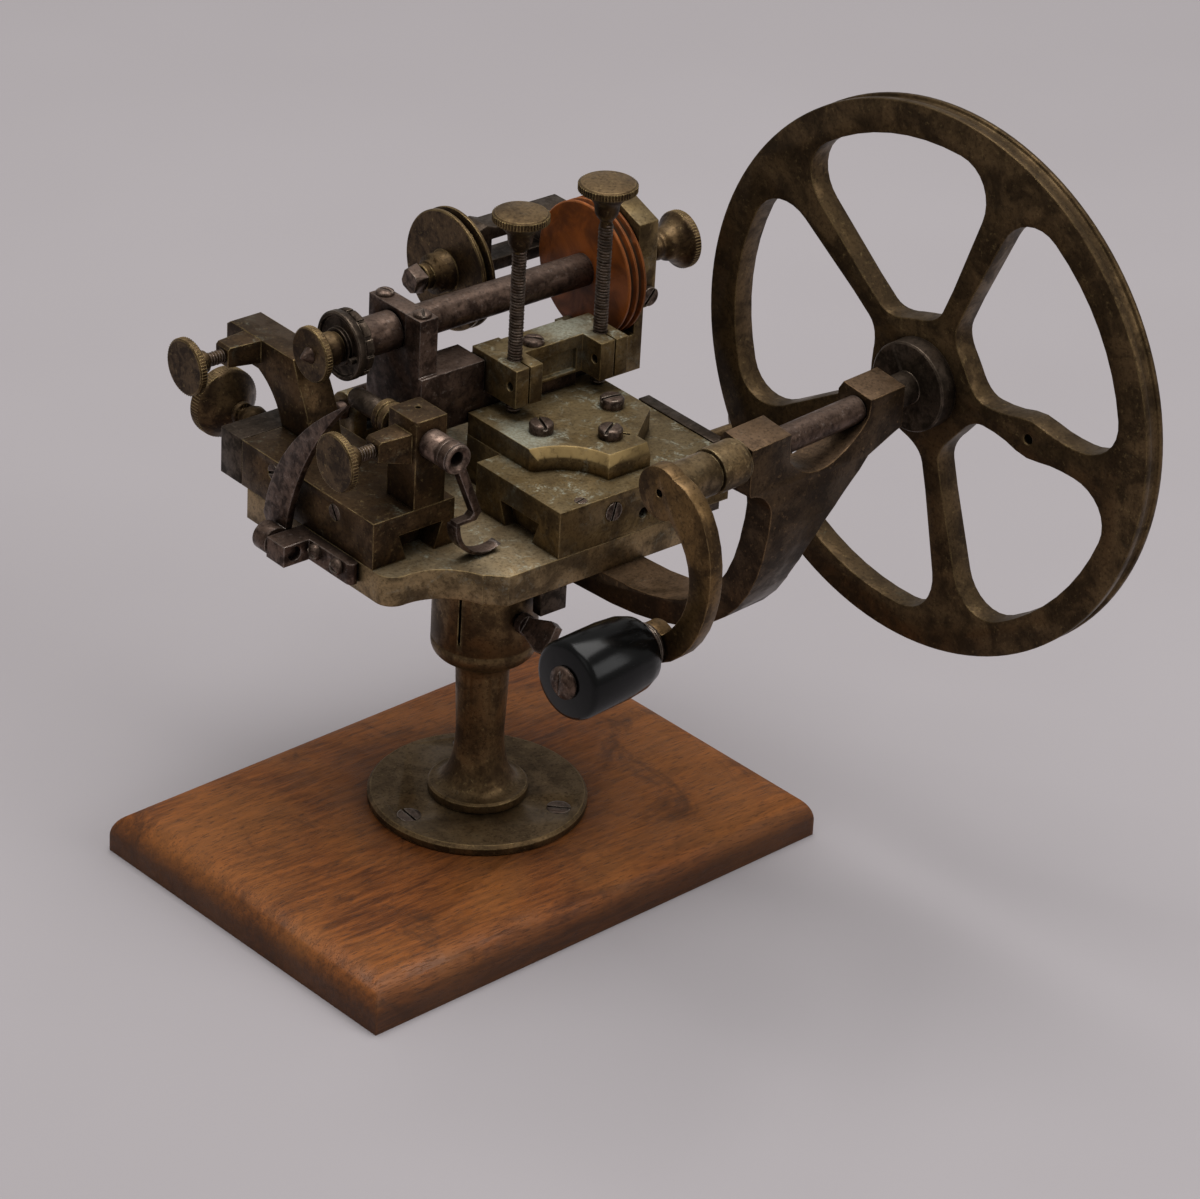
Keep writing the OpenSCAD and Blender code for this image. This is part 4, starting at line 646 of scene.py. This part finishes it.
def stop_core(head, top):
    """Profile of a stop screw's solid core: [0] radius, [1] height."""
    return [
        (0, STOP_FOOT), (1.3, STOP_FOOT), (1.7, STOP_FOOT + 0.5), (1.7, top - 11.4), (2, top - 11), (2.6, top - 10.2),
        (3.1, top - 9.4), (3.3, top - 8.4), (3.4, top - 7.2), (3.7, top - 6.2), (4.4, top - 5.2),
        (5.6, top - 4), (head - 0.5, top - 3), (head - 0.1, top - 2.6), (head - 0.1, top - 0.8),
        (head - 0.6, top - 0.35), (head - 1.2, top - 0.3), (head - 1.6, top - 0.1), (2, top), (0, top),
    ]


for side, x, head, top in (("left", 17.9, 7.5, STOP_TOP), ("right", 47.3, 7.9, STOP_TOP + STOP_STEP)):
    screw = "stop_screw_" + side
    body = side + "_stop"
    turned(screw + "_core", stop_core(head, top), (x, STOP_Y, 0), Z_AXIS, body, "knob_brass", screw)
    thread(screw + "_thread", (x, STOP_Y, STOP_FOOT + 0.6), Z_AXIS, 2.05, 46.2, body, "screw_steel")
    knurled_rim(screw + "_knurl", (x, STOP_Y, top - 1.7), Z_AXIS, head, 1.9, body)

# Knurls and threads of the other hand screws
for label, y in (("front", -0.9), ("rear", 64.2)):
    thumb = label + "_thumb"
    knurled_rim(label + "_clamp_knurl", (THUMB_X + 1.2, y, RUNNER_Z), X_AXIS, 7.8, 1.8, thumb)
    thread(label + "_clamp_thread", (THUMB_X + 7.6, y, RUNNER_Z), X_AXIS, 1.98, 5.6, thumb, "screw_steel")
knurled_rim("carriage_knob_knurl", CARRIAGE_KNOB, Y_AXIS, 9.7, 3.0, "carriage_feed")
for label, x in (("inner", 89.15), ("outer", 94.05)):
    knurled_rim("lead_knob_knurl_" + label, (x, *LEAD), X_AXIS, 8.0, 2.3, "saddle_feed", pitch=0.8)
knurled_rim("tail_knob_knurl", (91.35, *SPINDLE), X_AXIS, 8.0, 1.9, "tail_point")
knurled_rim("spindle_nut_knurl", (-34.15, *SPINDLE), X_AXIS, 7.5, 1.5, "cutter_nut")
thread("tail_screw_thread", (71.3, *SPINDLE), X_AXIS, 2.15, 8.4, "tail_point", "knob_brass")

# Steel ferrule that holds the handle against the crank arm, on the crank's own turned axis
CRANK_TURN = math.radians(4.9)
CRANK_AXIS = (math.cos(CRANK_TURN), math.sin(CRANK_TURN), 0)
HANDLE_Y = -81.4
HANDLE_Z = 105.8
HANDLE_FOOT = (-HANDLE_Y * math.sin(CRANK_TURN), HANDLE_Y * math.cos(CRANK_TURN), HANDLE_Z)
FERRULE_END = -22.9
FERRULE = [(0, -3.4), (5.6, -3.4), (6.2, -3), (6.2, -2), (5.7, -1.7), (5.7, -1.4), (6.1, -1.1), (5.9, -0.3),
           (5.5, 0), (0, 0)]
turned("handle_ferrule", [(radius, FERRULE_END + along) for radius, along in FERRULE],
       HANDLE_FOOT, CRANK_AXIS, "crank_handle", "screw_steel")

# Every other solid gets its finish, and these have broken edges, in millimetres
BROKEN_EDGES = {
    "main_plate": 0.45, "saddle": 0.3, "carriage_slide": 0.3, "runner_post": 0.35, "rear_arm": 0.4,
    "tail_upright": 0.45, "swing_frame": 0.4, "crank_bracket": 0.5, "crank_arm": 0.45, "hand_wheel": 0.35,
    "thrust_bar": 0.4, "feed_end_plate": 0.3, "foot_clamp": 0.3, "idler_arm": 0.3, "hinge_block": 0.4,
    "horn_bracket": 0.3, "crosspiece": 0.35, "centring_horn": 0.35, "claw_lever": 0.2,
    "cam_plate": 0.25, "bearing_cap": 0.3,
}
RAIL_END = -4.5 * MM
RAIL_SETBACK = 5 * MM


def set_back(rail):
    """Moves the front end of the carriage's rail back, which leaves the dovetail open under the carriage."""
    for corner in rail.data.vertices:
        if corner.co.y < RAIL_END:
            corner.co.y += RAIL_SETBACK


for node in NODES:
    if not node.startswith("stop_screw_"):
        piece = dressed(node, BROKEN_EDGES.get(node, 0.0))
        if node == "carriage_rail":
            set_back(piece)


# Floor

def pale_floor():
    half = 6.0
    mesh = bpy.data.meshes.new("floor")
    mesh.from_pydata([(-half, -half, 0), (half, -half, 0), (half, half, 0), (-half, half, 0)], [], [(0, 1, 2, 3)])
    mesh.materials.append(paper_floor("pale paper"))
    ob = bpy.data.objects.new("floor", mesh)
    bpy.context.collection.objects.link(ob)


pale_floor()
